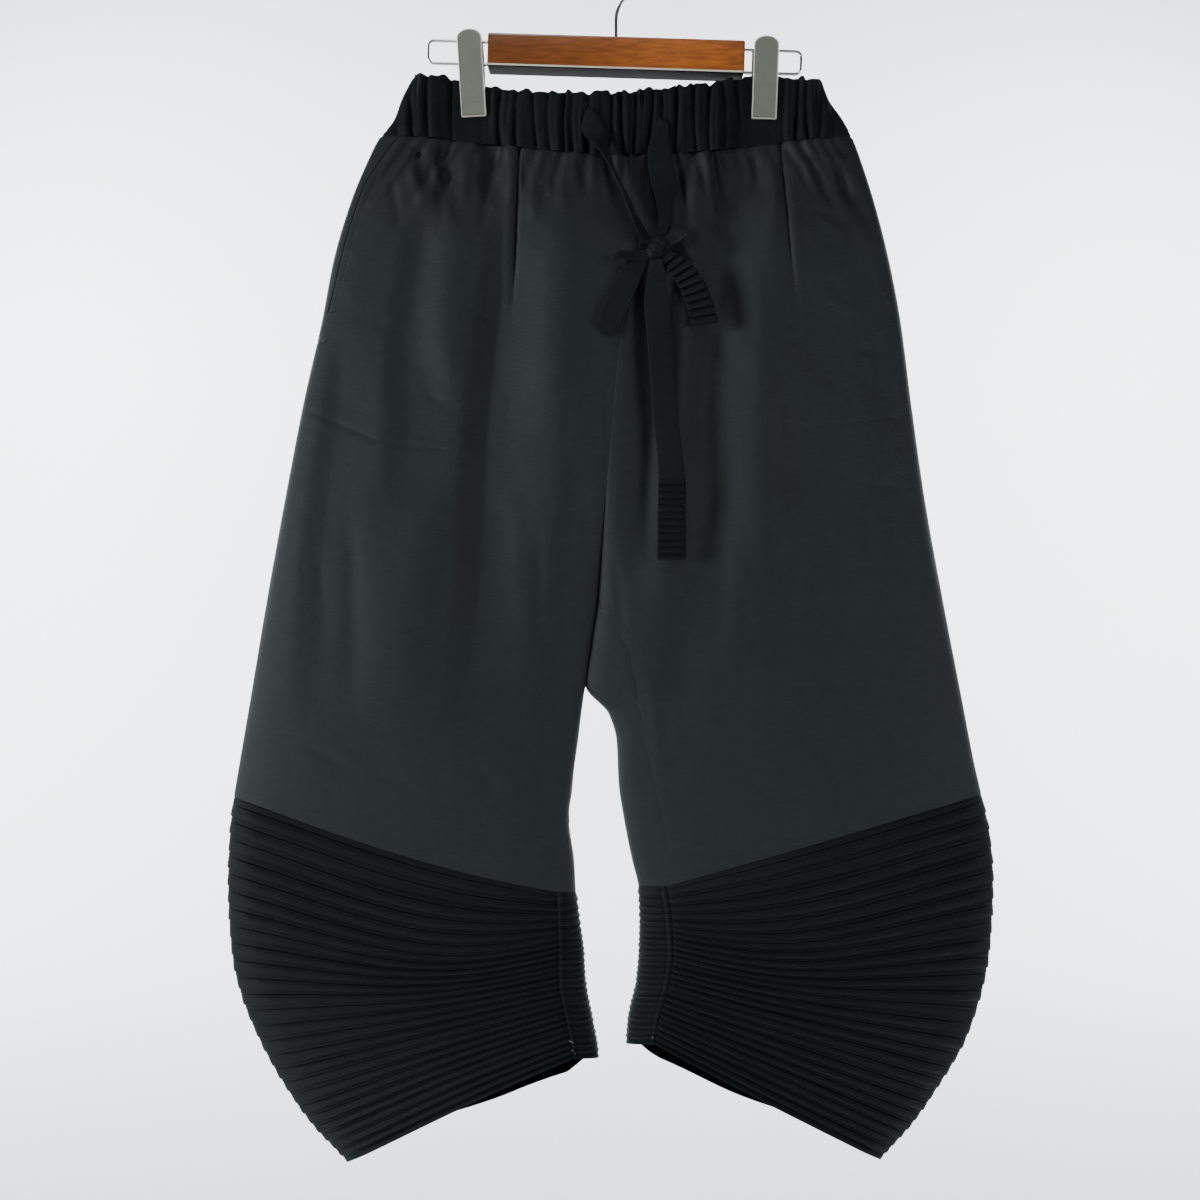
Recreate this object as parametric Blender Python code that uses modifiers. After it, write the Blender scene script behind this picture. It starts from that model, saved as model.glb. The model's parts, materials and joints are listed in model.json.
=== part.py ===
"""Cropped wide-leg trousers with pleated cuffs, hanging flat from a clip hanger.

Metres, +Z up. X runs across the garment and its front faces -Y. The origin is the underside of the
hook's top, where the hanger rests on a rail. Right and left are the wearer's, so the right leg lies
at -X. Every table below is in millimetres, read in the plane of the outer folds (Y = 0).
"""

import functools
import math

import bmesh
import bpy
import numpy as np
from mathutils import Matrix, Vector

MM = 0.001
COLLECTION = "Cropped_trousers_on_hanger"

# Cloth and seams
CLOTH_WALL = 1.4  # hem, seams and cloth together
BAND_WALL = 2.4  # two layers of cloth over elastic
BAG_WALL = 1.0
SEAM_GAP = 0.3
TIE_WALL = 1.2

# The view that the sizes were read from: nearer cloth shows larger by this much
VIEW_CENTRE = (-13.3, -518.0)
VIEW_DISTANCE = 940.0

# Pleated cuffs
PLEATS = 26
PLEAT_PEAK = 0.74  # place of the overhanging edge between one valley and the next
PLEAT_DEPTH_OUTER = 2.6
PLEAT_DEPTH_INNER = 1.0
CUFF_SEAM = 0.94  # the inseam's place across a cuff, from the outer fold

# Heights of the rows on the centre seam
CROTCH_Z = -518.0

# Shape of every cross-section: half depth = DEPTH * (width fraction) ** ROUNDING
ROUNDING = 0.4

# z, x of the right leg's outer fold, x of the left leg's
OUTER_FOLD = (
    (-100, -155, 154),
    (-112, -160, 159),
    (-128, -168, 165),
    (-144, -174, 176),
    (-159, -186, 184),
    (-175, -194, 190),
    (-206, -207, 200),
    (-253, -221, 212),
    (-300, -230, 221),
    (-362, -244, 229),
    (-440, -259, 240),
    (-518, -273, 254),
    (-596, -286, 269),
    (-643, -294, 278),
    (-674, -299, 285),
    (-705, -302, 291),
    (-736, -303, 293),
    (-768, -302, 292),
    (-799, -299, 289),
    (-830, -291, 282),
    (-861, -278, 271),
    (-892, -261, 253),
    (-924, -239, 231),
    (-955, -210, 203),
)

# z, x of the centre seam, one line for both legs down to the crotch
CENTRE_SEAM = (
    (-100, 17),
    (-173, 19),
    (-224, 18),
    (-290, 8),
    (-326, 1),
    (-393, -5),
    (-452, -10),
    (-518, -15),
)

# z, x of the right leg's inner fold, x of the left leg's, below the crotch
INNER_FOLD = (
    (-518, -15.2, -14.8),
    (-552, -20.3, -19.7),
    (-585, -24.5, -23.0),
    (-607, -27.5, -6.5),
    (-628, -30.0, -0.5),
    (-660, -34.0, 1.0),
    (-690, -37.0, 5.5),
    (-718, -33.5, 11.0),
    (-745, -32.0, 17.0),
    (-768, -29.5, 18.0),
    (-790, -26.5, 17.5),
    (-814, -25.0, 15.5),
    (-845, -19.5, 9.0),
    (-864, -16.0, 7.8),
    (-880, -14.5, 7.5),
)

# z, half depth of the cloth, how far the two legs have closed round on themselves
HALF_DEPTH = (
    (-100, 12.0, 0.0),
    (-165, 13.0, 0.0),
    (-205, 16.0, 0.0),
    (-260, 19.5, 0.0),
    (-330, 21.5, 0.1),
    (-420, 22.0, 0.45),
    (-518, 21.0, 1.0),
    (-650, 20.5, 1.0),
    (-760, 19.5, 1.0),
    (-960, 15.5, 1.0),
)

# x, z of the waistband's top edge
WAIST_TOP = (
    (-188, -107),
    (-158, -109),
    (-135, -113),
    (-101, -119),
    (-54, -122.5),
    (0, -122.5),
    (34, -120),
    (62, -117),
    (97, -113),
    (128, -108.5),
    (140, -110.5),
    (158, -111.5),
    (186, -112),
)

# Waistband's lower seam: lowest near the centre seam, rising by WAIST_RISE at the sides
WAIST_SEAM_X = 10.0
WAIST_SEAM_Z = -171.6
WAIST_SEAM_REACH = 190.0
WAIST_RISE = 15.6

# z, place of the side seam round each leg: above 0 it lies on the front, below 0 on the back
SIDE_SEAM = (
    (-155, 0.070, -0.030),
    (-201, 0.026, -0.030),
    (-260, 0.024, -0.025),
    (-300, 0.012, -0.020),
    (-680, 0.012, -0.020),
)

# z, place of the inseam round each leg: 1 is the inner fold, less is on the front
INSEAM = (
    (-518, 0.985, 0.990),
    (-540, 0.985, 0.957),
    (-555, 0.985, 0.918),
    (-585, 0.985, 0.880),
    (-604, 0.985, 0.900),
    (-622, 0.985, 0.918),
    (-643, 0.985, 0.925),
    (-700, 0.980, 0.915),
    (-745, 0.950, 0.918),
)

# Fractions across each leg of the waistband's gathers, from the outer fold to the centre
RIGHT_GATHERS = (0.06, 0.13, 0.18, 0.23, 0.32, 0.38, 0.43, 0.49, 0.56, 0.63, 0.69, 0.73, 0.80, 0.88, 0.94)
LEFT_GATHERS = (0.07, 0.14, 0.20, 0.28, 0.35, 0.43, 0.49, 0.58, 0.64, 0.72, 0.77, 0.82, 0.87, 0.92, 0.96)

# Clips: x, z of the middle, height, lean in degrees
CLIPS = {"right": (-113.0, -109.5, 67.0, 3.3), "left": (115.0, -113.0, 63.5, -1.8)}
CLIP_WIDTH = 19.5
CLIP_PLATE = 1.6
JAW_Y = 3.7  # inner face of a clip plate where it holds the cloth
PINCH_HALF_DEPTH = 3.1

# Broad folds: side (-1 front, 1 back), top x, top z, bottom x, bottom z, half width, height
FOLDS = (
    (-1, -79, -130, -84.5, -300, 5.5, -3.4),
    (-1, -99, -262, -114, -424, 13, -3.2),
    (-1, -114, -400, -131, -560, 14, -2.6),
    (-1, -134, -196, -128, -380, 17, 3.4),
    (-1, -50, -190, -42, -410, 24, 3.2),
    (-1, -150, -420, -172, -640, 26, 2.6),
    (-1, 129, -130, 143, -300, 5.5, -3.4),
    (-1, 73, -168, 82, -235, 10, 2.8),
    (-1, 76, -235, 66, -440, 14, -3.4),
    (-1, 65, -410, 45, -630, 15, -3.0),
    (-1, 190, -240, 214, -405, 14, -2.6),
    (-1, 151, -235, 156, -410, 20, 3.2),
    (-1, 118, -400, 132, -640, 28, 2.6),
    (1, -140, -172, -150, -380, 15, -3.0),
    (1, -88, -178, -96, -430, 18, 3.2),
    (1, -47, -180, -60, -400, 12, -2.8),
    (1, -150, -400, -165, -640, 20, -2.6),
    (1, 62, -176, 70, -380, 13, -3.0),
    (1, 112, -180, 128, -420, 18, 3.2),
    (1, 160, -230, 176, -430, 14, -2.8),
    (1, 100, -430, 118, -640, 20, -2.6),
)

# Stitched waist tuck of each front: its column, x at its top and x at its foot
TUCKS = {-1: (11, -79.0, -84.5), 1: (8, 129.0, 143.0)}
TUCK_TOP_Z = -160.0
TUCK_FOOT_Z = -300.0

# pleat number, drop in mm of that pleat's line below a straight one, on the right and the left cuff
PLEAT_BOW = (
    (0, 6, 1),
    (3, 15, 10),
    (6, 20, 16),
    (9, 15, 14),
    (13, 5, 6),
    (17, 0, 1),
    (22, -3, 0),
    (26, -8, 1),
)

# Columns round a cuff, and the rows of a leg above and below the crotch
CUFF_COLUMNS = (0.004, 0.03, 0.11, 0.25, 0.40, 0.55, 0.70, 0.84, 0.94, 0.99)
ROWS_ABOVE = (0.0, 0.05, 0.12, 0.22, 0.34, 0.46, 0.58, 0.70, 0.85, 1.0)
ROWS_BELOW = (0.05, 0.16, 0.29, 0.37, 0.46, 0.64, 0.82, 1.0)


# ---------------------------------------------------------------- tables and the cloth's surface


@functools.lru_cache(maxsize=None)
def rising(table, column):
    """Keys and values of one column, in the order of rising keys."""
    rows = sorted(table)
    return np.array([row[0] for row in rows]), np.array([row[column] for row in rows])


def read(table, key, column):
    """The table's value at key, between its rows."""
    keys, values = rising(table, column)
    return float(np.interp(key, keys, values))


def leg_column(leg):
    return 1 if leg < 0 else 2


def outer_x(leg, z):
    return read(OUTER_FOLD, z, leg_column(leg))


def inner_x(leg, z):
    if z > CROTCH_Z:
        return read(CENTRE_SEAM, z, 1) + leg * SEAM_GAP / 2
    return read(INNER_FOLD, z, leg_column(leg))


def smooth(t):
    t = min(max(t, 0.0), 1.0)
    return t * t * (3 - 2 * t)


def pinch(x, z):
    """How far the clips press the cloth flat at this place, from 0 to 1."""
    most = 0.0
    for clip in CLIPS.values():
        across = smooth((40 - abs(x - clip[0])) / 27)
        below = smooth((z + 240) / 90)
        most = max(most, across * below)
    return most


def under_clip(x):
    """How far a clip flattens the gathers at this place, from 0 to 1."""
    return max(smooth((19 - abs(x - clip[0])) / 7) for clip in CLIPS.values())


def half_depth(a, x, z):
    """Half the garment's depth at fraction a between its outer and inner edges."""
    depth = read(HALF_DEPTH, z, 1)
    closed = read(HALF_DEPTH, z, 2)
    open_form = (a * (2 - a)) ** ROUNDING
    closed_form = (4 * a * (1 - a)) ** ROUNDING if 0 < a < 1 else 0.0
    y = depth * ((1 - closed) * open_form + closed * closed_form)
    pressed = pinch(x, z)
    return y * (1 - pressed) + min(y, PINCH_HALF_DEPTH) * pressed


def fold_height(side, x, z):
    """Height of the broad folds over the plain surface."""
    height = 0.0
    for fold_side, x0, z0, x1, z1, width, rise in FOLDS:
        t = (z0 - z) / (z0 - z1)
        if fold_side != side or not 0 < t < 1:
            continue
        middle = x0 + (x1 - x0) * t + 3 * math.sin(2.5 * math.pi * t)
        ends = smooth(t / 0.25) * smooth((1 - t) / 0.35)
        height += rise * ends * math.exp(-(((x - middle) / width) ** 2))
    return height


def round_place(s):
    """(fraction from the outer to the inner fold, -1 on the front or 1 on the back) at loop place s."""
    if s > 1:
        return 2 - s, 1
    if s < -1:
        return 2 + s, -1
    return abs(s), -1 if s >= 0 else 1


def drawn(x, y, z):
    """World point in metres of a place read in the plane of the folds, at depth y."""
    nearer = 1 - (math.sqrt(y * y + 25) - 5) / VIEW_DISTANCE
    world_x = VIEW_CENTRE[0] + (x - VIEW_CENTRE[0]) * nearer
    world_z = VIEW_CENTRE[1] + (z - VIEW_CENTRE[1]) * nearer
    return Vector((world_x, y, world_z)) * MM


def waist_x(leg, a):
    return outer_x(leg, -140) + a * (inner_x(leg, -140) - outer_x(leg, -140))


def waist_seam_z(leg, a):
    """Height of the waistband's lower seam at fraction a across a leg."""
    share = min(abs(waist_x(leg, a) - WAIST_SEAM_X) / WAIST_SEAM_REACH, 1.0)
    return WAIST_SEAM_Z + WAIST_RISE / 2 * (1 - math.cos(math.pi * share))


def crotch_row_z(a):
    return -470 + (CROTCH_Z + 470) * a


def body_row_z(leg, a, v):
    """Height of row v: 0 is the waist seam, 1 passes the crotch, 2 is the cuff's seam."""
    if v <= 1:
        top = waist_seam_z(leg, a)
        return top + (crotch_row_z(a) - top) * v
    low = cuff_line(leg, a, -1, 0)[1]
    return crotch_row_z(a) + (low - crotch_row_z(a)) * (v - 1)


def body_point(leg, s, v):
    a, side = round_place(s)
    z = body_row_z(leg, a, v)
    x = outer_x(leg, z) + a * (inner_x(leg, z) - outer_x(leg, z))
    return drawn(x, side * half_depth(a, x, z), z)


# ---------------------------------------------------------------- cuffs


@functools.lru_cache(maxsize=None)
def outer_arc(leg, pleat):
    """x, z of a pleat's end on the outer fold. Pleats close up toward the hem."""
    heights = np.linspace(-671 if leg < 0 else -669, -955 if leg < 0 else -953, 60)
    edge = [outer_x(leg, z) for z in heights]
    steps = np.hypot(np.diff(edge), np.diff(heights))
    along = np.concatenate([[0], np.cumsum(steps)])
    counts = np.arange(PLEATS)
    pitch = np.where(counts < 14, 1.0, 1.0 - 0.5 * (counts - 13) / (PLEATS - 13))
    share = np.concatenate([[0], np.cumsum(pitch)]) / pitch.sum()
    here = np.interp(pleat, range(PLEATS + 1), share) * along[-1]
    z = float(np.interp(here, along, heights))
    return outer_x(leg, z), z


@functools.lru_cache(maxsize=None)
def inner_end(leg, pleat):
    """x, z of a pleat's end on the inner fold, where the pleats lie closed."""
    top, bottom = (-745.0, -874.0) if leg < 0 else (-740.0, -863.0)
    pitch = np.where(np.arange(PLEATS) < 6, 1.0 + 0.5 * (6 - np.arange(PLEATS)) / 6, 1.0)
    share = np.interp(pleat, range(PLEATS + 1), np.concatenate([[0], np.cumsum(pitch)]) / pitch.sum())
    z = top + (bottom - top) * share
    return inner_x(leg, z), z


def back_drop(a, pleat):
    """The back of a cuff hangs lower than its front, most of all near the inseam."""
    return 17.5 * smooth(a / 0.8) * smooth((1.0 - a) / 0.11) * (pleat / PLEATS) ** 2


def cuff_line(leg, a, side, pleat):
    """x, z at fraction a along a pleat's line."""
    x0, z0 = outer_arc(leg, pleat)
    x1, z1 = inner_end(leg, pleat)
    level = min(a / CUFF_SEAM, 1.0)
    bow = read(PLEAT_BOW, pleat, leg_column(leg)) * math.sin(math.pi * level**1.3)
    z = z0 + (z1 - z0) * level - bow
    if side > 0:
        z -= back_drop(a, pleat)
    return x0 + (x1 - x0) * a, z


def cuff_point(leg, s, pleat):
    a, side = round_place(s)
    x, z = cuff_line(leg, a, side, pleat)
    y = read(HALF_DEPTH, z, 1) * (4 * a * (1 - a)) ** ROUNDING if 0 < a < 1 else 0.0
    return drawn(x, side * y, z)


def pleat_rise(s, phase):
    """Height of the pleated cloth: out slowly to the overhanging edge, then back in."""
    a = round_place(s)[0]
    depth = PLEAT_DEPTH_INNER + (PLEAT_DEPTH_OUTER - PLEAT_DEPTH_INNER) * (1 - a) ** 0.7
    depth *= 0.35 + 0.65 * smooth(a / 0.09)
    return depth * (phase / PLEAT_PEAK if phase < PLEAT_PEAK else (1 - phase) / (1 - PLEAT_PEAK))


# ---------------------------------------------------------------- walls


def frame_at(point, leg, s, v, seam_rows=(), limits=(0.0, 2.0)):
    """Unit vectors along the loop and out of the cloth at (s, v) on a surface function."""
    ds = 0.002
    dv = 0.01
    s_low, s_high = s - ds, s + ds
    v_low, v_high = max(v - dv, limits[0]), min(v + dv, limits[1])
    if point is body_point:
        if v < 1:
            s_low, s_high, v_high = max(s_low, -1), min(s_high, 1), min(v_high, 1)
        else:
            v_low = max(v_low, 1)
    along = point(leg, s_high, v) - point(leg, s_low, v)
    down = point(leg, s, v_high) - point(leg, s, v_low)
    out = along.cross(down) * leg
    if v in seam_rows:
        out.z = 0.0
    return along.normalized(), out.normalized()


def mesh_object(name, points, faces, material, sharp_degrees=40.0):
    mesh = bpy.data.meshes.new(name)
    mesh.from_pydata([tuple(p) for p in points], [], faces)
    shape = bmesh.new()
    shape.from_mesh(mesh)
    bmesh.ops.recalc_face_normals(shape, faces=shape.faces)
    bmesh.ops.triangulate(shape, faces=shape.faces)
    shape.to_mesh(mesh)
    shape.free()
    mesh.shade_smooth()
    mesh.set_sharp_from_angle(angle=math.radians(sharp_degrees))
    mesh.materials.append(material)
    made = bpy.data.objects.new(name, mesh)
    bpy.data.collections[COLLECTION].objects.link(made)
    return made


def grid_faces(rows, columns, first, ring):
    faces = []
    for i in range(rows - 1):
        for j in range(columns if ring else columns - 1):
            k = (j + 1) % columns
            a, b = first + i * columns + j, first + i * columns + k
            faces.append((a, b, b + columns, a + columns))
    return faces


def wall(outer, inner, ring):
    """Points and faces of a cloth wall. Its two grids share their columns and their first and last rows."""
    columns = len(outer[0])
    points = [p for row in outer for p in row] + [p for row in inner for p in row]
    start = len(outer) * columns
    faces = grid_faces(len(outer), columns, 0, ring)
    faces += [face[::-1] for face in grid_faces(len(inner), columns, start, ring)]
    last_out, last_in = start - columns, len(points) - columns
    for j in range(columns if ring else columns - 1):
        k = (j + 1) % columns
        faces.append((k, j, start + j, start + k))
        faces.append((last_out + j, last_out + k, last_in + k, last_in + j))
    if not ring:
        for i in range(len(outer) - 1):
            for j, turn in ((0, 1), (columns - 1, -1)):
                a, b = i * columns + j, (i + 1) * columns + j
                faces.append((a, b, start + b, start + a)[::turn])
    return points, faces


# ---------------------------------------------------------------- sub-parts of cloth


def band_columns():
    """(leg, loop place, height) round the waist: gather valleys with ridges between them."""
    quarters = []
    for leg, side, valleys, phase in (
        (-1, -1, RIGHT_GATHERS, 0.0),
        (1, -1, LEFT_GATHERS, 1.3),
        (1, 1, RIGHT_GATHERS, 2.1),
        (-1, 1, LEFT_GATHERS, 0.7),
    ):
        places = [(0.004, 0.0), (0.025, 0.5)]
        for number, (here, after) in enumerate(zip(valleys, valleys[1:] + (1.0,))):
            deep = 1.9 + 0.6 * math.sin(2.3 * number + phase)
            tall = 1.4 + 0.5 * math.sin(1.7 * number + phase)
            places += [(here, -deep), ((here + after) / 2, tall)]
        quarter = [(leg, -side * a, height) for a, height in places]
        quarters.append(quarter if leg * side > 0 else quarter[::-1])
    right_front, left_front, left_back, right_back = quarters
    around = [(-1, 0.0, 0.2)] + right_front + [(-1, 1.0, -1.0)] + left_front
    around += [(1, 0.0, 0.2)] + left_back + [(1, -1.0, -1.0)] + right_back
    return around


def band_point(leg, s, v):
    """v runs from 0 at the waistband's top edge to 1 at its lower seam."""
    a, side = round_place(s)
    top, low = read(WAIST_TOP, waist_x(leg, a), 1), waist_seam_z(leg, a)
    z = top + (low - top) * v
    x = outer_x(leg, z) + a * (inner_x(leg, z) - outer_x(leg, z))
    return drawn(x, side * half_depth(a, x, z), z)


def add_waistband(material):
    outer, inner = [], []
    for v, fullness in ((0.0, 0.8), (0.12, 0.6), (0.55, 1.0), (1.0, 0.7)):
        outer_row, inner_row = [], []
        for leg, s, height in band_columns():
            place = band_point(leg, s, v)
            out = frame_at(band_point, leg, s, v, (0.0, 0.12, 0.55, 1.0), (0.0, 1.0))[1]
            rise = height * fullness * (1 - 0.9 * under_clip(place.x / MM)) * MM
            shift = Vector((0, 0, SEAM_GAP / 2 * MM if v == 1.0 else 0))
            outer_row.append(place + out * rise + shift)
            inner_row.append(place + out * (rise - BAND_WALL * MM) + shift)
        outer.append(outer_row)
        inner.append(inner_row)
    points, faces = wall(outer, inner, ring=True)
    return mesh_object("waistband", points, faces, material, 50.0)


def cuff_columns():
    front = list(CUFF_COLUMNS)
    return [0.0] + front + [1.0] + [-a for a in reversed(front)]


def cuff_rim(leg):
    """Outer and inner points of a cuff's top edge, which the legs are sewn to."""
    outer, inner = [], []
    for s in cuff_columns():
        place = cuff_point(leg, s, 0)
        out = frame_at(cuff_point, leg, s, 0, limits=(0, PLEATS))[1]
        outer.append(place)
        inner.append(place - out * CLOTH_WALL * MM)
    return outer, inner


def rim_place(leg, s, rim):
    """The cuff edge's outer and inner points at loop place s, on the straight lines between its columns."""
    places = np.array([(-c if c > 0 else -c) % 2 for c in cuff_columns()])
    target = (-s) % 2
    order = np.argsort(places)
    sorted_places = np.append(places[order], 2.0)
    step = min(int(np.searchsorted(sorted_places, target, side="right")) - 1, len(order) - 1)
    low, high = order[step], order[(step + 1) % len(order)]
    t = (target - sorted_places[step]) / (sorted_places[step + 1] - sorted_places[step])
    return [side[low].lerp(side[high], t) for side in rim]


def add_cuff(leg, name, material):
    outer, inner = [], []
    lift = Vector((0, 0, -SEAM_GAP / 2 * MM))
    for pleat in range(PLEATS + 1):
        for phase in (0.0, PLEAT_PEAK):
            if pleat == PLEATS and phase:
                continue
            row = []
            for s in cuff_columns():
                place = cuff_point(leg, s, pleat + phase)
                out = frame_at(cuff_point, leg, s, pleat + phase, limits=(0, PLEATS))[1]
                shift = lift if pleat + phase == 0 else Vector()
                row.append(place + out * pleat_rise(s, phase) * MM + shift)
            outer.append(row)
    for pleat in range(0, PLEATS + 1, 2):
        row = []
        for s in cuff_columns():
            place = cuff_point(leg, s, pleat)
            out = frame_at(cuff_point, leg, s, pleat, limits=(0, PLEATS))[1]
            shift = lift if pleat == 0 else Vector()
            row.append(place - out * CLOTH_WALL * MM + shift)
        inner.append(row)
    points, faces = wall(outer, inner, ring=True)
    return mesh_object(name, points, faces, material, 25.0)


def eased(t):
    """Columns drawn together toward both ends of a panel."""
    return 0.55 * t + 0.45 * (0.5 - 0.5 * math.cos(math.pi * t))


def panel_places(leg, side, v):
    """Loop places of one row of a leg panel, from its side seam to its centre seam or inseam."""
    z_side = body_row_z(leg, 0.0, v)
    z_inner = body_row_z(leg, 1.0, v)
    start = read(SIDE_SEAM, z_side, leg_column(leg))
    if side > 0:
        knee = 0.0 if start > 0 else start - 0.03
        knees, end = (-0.94 - 0.045 * smooth((v - 0.7) / 0.3), -1.0)
        if v > 1:
            knees, end = (-1.0, read(INSEAM, z_inner, leg_column(leg)) - 2)
    else:
        knee = start + 0.03 if start > 0 else 0.0
        end = 1.0 if v <= 1 else read(INSEAM, z_inner, leg_column(leg))
        knees = end - 0.05
    places = [start, (start + knee) / 2]
    places += [knee + (knees - knee) * eased(i / 16) for i in range(16)]
    places += [knees + (end - knees) * t for t in (0.0, 0.5, 1.0)]
    if side < 0 and z_side > TUCK_FOOT_Z:
        gather_at_tuck(leg, places, z_side)
    return places


def gather_at_tuck(leg, places, z):
    """Moves three columns of a front to its stitched tuck, so that the slit stays narrow."""
    column, x_top, x_foot = TUCKS[leg]
    x = x_top + (x_foot - x_top) * (z - TUCK_TOP_Z) / (TUCK_FOOT_Z - TUCK_TOP_Z)
    middle = (x - outer_x(leg, z)) / (inner_x(leg, z) - outer_x(leg, z))
    places[column - 1 : column + 2] = [middle - 0.026, middle, middle + 0.026]


def panel_grids(leg, side):
    """Outer points, inner points and outward directions of a leg panel."""
    rim = cuff_rim(leg)
    rows = list(ROWS_ABOVE) + [1 + g for g in ROWS_BELOW]
    grids = ([], [], [])
    for v in rows:
        places = panel_places(leg, side, v)
        outer_row, inner_row, out_row = [], [], []
        for j, s in enumerate(places):
            along, out = frame_at(body_point, leg, s, v, (0.0,))
            place = body_point(leg, s, v)
            a, face = round_place(s)
            edge = smooth(min(a, 1 - a if v > 1 else 1) / 0.1)
            height = edge * fold_height(face, place.x / MM, place.z / MM)
            outer = place + out * height * MM
            inner = outer - out * CLOTH_WALL * MM
            if v == 2:
                outer, inner = rim_place(leg, s, rim)
                ahead = rim_place(leg, s + 0.0005, rim)[0]
                behind = rim_place(leg, s - 0.0005, rim)[0]
                along = (ahead - behind).normalized()
                out = (outer - inner).normalized()
            shift = Vector()
            if v in (0.0, 2.0):
                shift.z = (-SEAM_GAP / 2 if v == 0 else SEAM_GAP / 2) * MM
            turn = 1 if side < 0 else -1
            if j == 0:
                shift += along * turn * SEAM_GAP / 2 * MM
            if j == len(places) - 1 and v >= 1:
                shift -= along * turn * SEAM_GAP / 2 * MM
            outer_row.append(outer + shift)
            inner_row.append(inner + shift)
            out_row.append(out)
        for grid, row in zip(grids, (outer_row, inner_row, out_row)):
            grid.append(row)
    return grids


def add_leg_panel(leg, side, name, material):
    outer, inner, out = panel_grids(leg, side)
    points, faces = wall(outer, inner, ring=False)
    mesh_object(name, points, faces, material, 50.0)
    return inner, out


def add_pocket_bag(panel, name, material, last_row):
    """A bag inside a front panel, made from that panel's inner points moved in."""
    inner, out = panel
    near, far = [], []
    for i in range(1, last_row + 1):
        columns = range(2, 11)
        near.append([inner[i][j] - out[i][j] * SEAM_GAP * MM for j in columns])
        far.append([inner[i][j] - out[i][j] * (SEAM_GAP + BAG_WALL) * MM for j in columns])
    points, faces = wall(near, far, ring=False)
    return mesh_object(name, points, faces, material, 50.0)


# ---------------------------------------------------------------- the tie


def front_y(x, z):
    """Y of the front surface at a place read in the plane of the folds."""
    leg = -1 if x < read(CENTRE_SEAM, z, 1) else 1
    a = (x - outer_x(leg, z)) / (inner_x(leg, z) - outer_x(leg, z))
    a = min(max(a, 0.001), 0.93)
    return -half_depth(a, x, z) - max(fold_height(-1, x, z), 0.0)


# x, z, clearance in front of the cloth, half width, direction of the width (degrees from +X toward
# +Z), turn of the strip out of the picture plane (degrees)
RIGHT_STRAND = (
    (-24, -137, 3.2, 8.5, -4, 0),
    (-21, -148, 3.2, 9.0, -8, 5),
    (-17, -159, 3.2, 9.5, -14, 10),
    (-12, -171, 3.6, 9.0, -22, 30),
    (-6, -183, 4.6, 8.5, -26, 62),
    (0, -195, 5.0, 8.5, -28, 70),
    (5, -207, 4.6, 8.5, -28, 60),
    (10, -218, 4.2, 8.5, -26, 40),
    (15, -229, 4.2, 8.0, -32, 25),
    (22.3, -238.8, 4.6, 4.4, -40, 10),
)
LEFT_STRAND = (
    (36, -146, 3.2, 7.5, 6, 0),
    (33, -156, 3.2, 8.0, 14, 15),
    (31, -165, 3.4, 8.5, 10, 30),
    (33, -176, 4.0, 9.5, 0, 20),
    (34.5, -190, 4.2, 9.5, -4, 10),
    (35.5, -205, 4.4, 8.5, -2, 20),
    (36, -219, 4.6, 7.0, 0, 25),
    (34.6, -235.4, 5.2, 4.2, 4, 8),
)
RIGHT_LOOP = (
    (21.1, -250.3, 6.4, 4.4, 62, 5),
    (14, -254, 5.6, 6.0, 66, 10),
    (6, -259, 5.0, 7.5, 60, 15),
    (0, -268, 5.0, 8.5, 44, 10),
    (-4, -280, 5.0, 9.0, 28, 5),
    (-7, -292, 4.8, 9.2, 22, 0),
    (-10, -304, 4.4, 9.2, 26, 0),
    (-13, -311, 4.0, 9.0, 28, 0),
)
LEFT_LOOP = (
    (38.6, -240.2, 6.6, 4.2, 130, 5),
    (43.5, -236.5, 6.6, 5.5, 128, 10),
    (47.5, -233, 6.2, 7.0, 124, 20),
    (51.5, -230, 5.6, 7.0, 122, 30),
)
TAIL = (
    (30, -253.8, 8.4, 5.0, 2, 0),
    (30.5, -270, 7.0, 7.5, 4, 0),
    (30.5, -285, 6.0, 9.2, 2, 0),
    (32, -305, 4.8, 9.5, 0, 4),
    (34, -330, 4.2, 9.4, -2, 8),
    (36, -355, 4.0, 9.5, -4, 5),
    (38, -380, 4.0, 9.6, -3, 0),
    (41, -405, 4.0, 9.8, -2, 0),
    (42.5, -422.4, 4.0, 10.2, -2, 0),
)
LONG_END = ((42.6, -422.9, 4.0, 10.4, -2, 0), (42.3, -455, 4.0, 10.6, 0, 0), (42.2, -487, 4.0, 10.8, 1, 0))
SHORT_END = (
    (36.4, -250.4, 5.0, 5.0, 42, 0),
    (49, -261, 4.8, 8.5, 34, 0),
    (57.5, -273, 4.6, 9.6, 24, 0),
    (64, -288, 4.0, 10.2, 14, 0),
    (68, -304, 3.6, 10.4, 8, 0),
)
KNOT_CENTRE = (30.5, -245.5)
KNOT_RADII = (6.4, 4.6, 9.4)
KNOT_LEAN = 38.0


def between(stations, count):
    """Stations of a strip spaced evenly along it, on a smooth curve through the given ones."""
    given = np.array(stations, float)
    steps = np.hypot(np.diff(given[:, 0]), np.diff(given[:, 1]))
    along = np.concatenate([[0], np.cumsum(steps)])
    slopes = np.gradient(given, along, axis=0)
    rows = []
    for here in np.linspace(0, along[-1], count):
        i = min(int(np.searchsorted(along, here, side="right")) - 1, len(along) - 2)
        length = along[i + 1] - along[i]
        t = (here - along[i]) / length
        low, high = given[i], given[i + 1]
        curve = (2 * t**3 - 3 * t**2 + 1) * low + (3 * t**2 - 2 * t**3) * high
        curve += length * ((t**3 - 2 * t**2 + t) * slopes[i] + (t**3 - t**2) * slopes[i + 1])
        rows.append(curve)
    return rows


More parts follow.
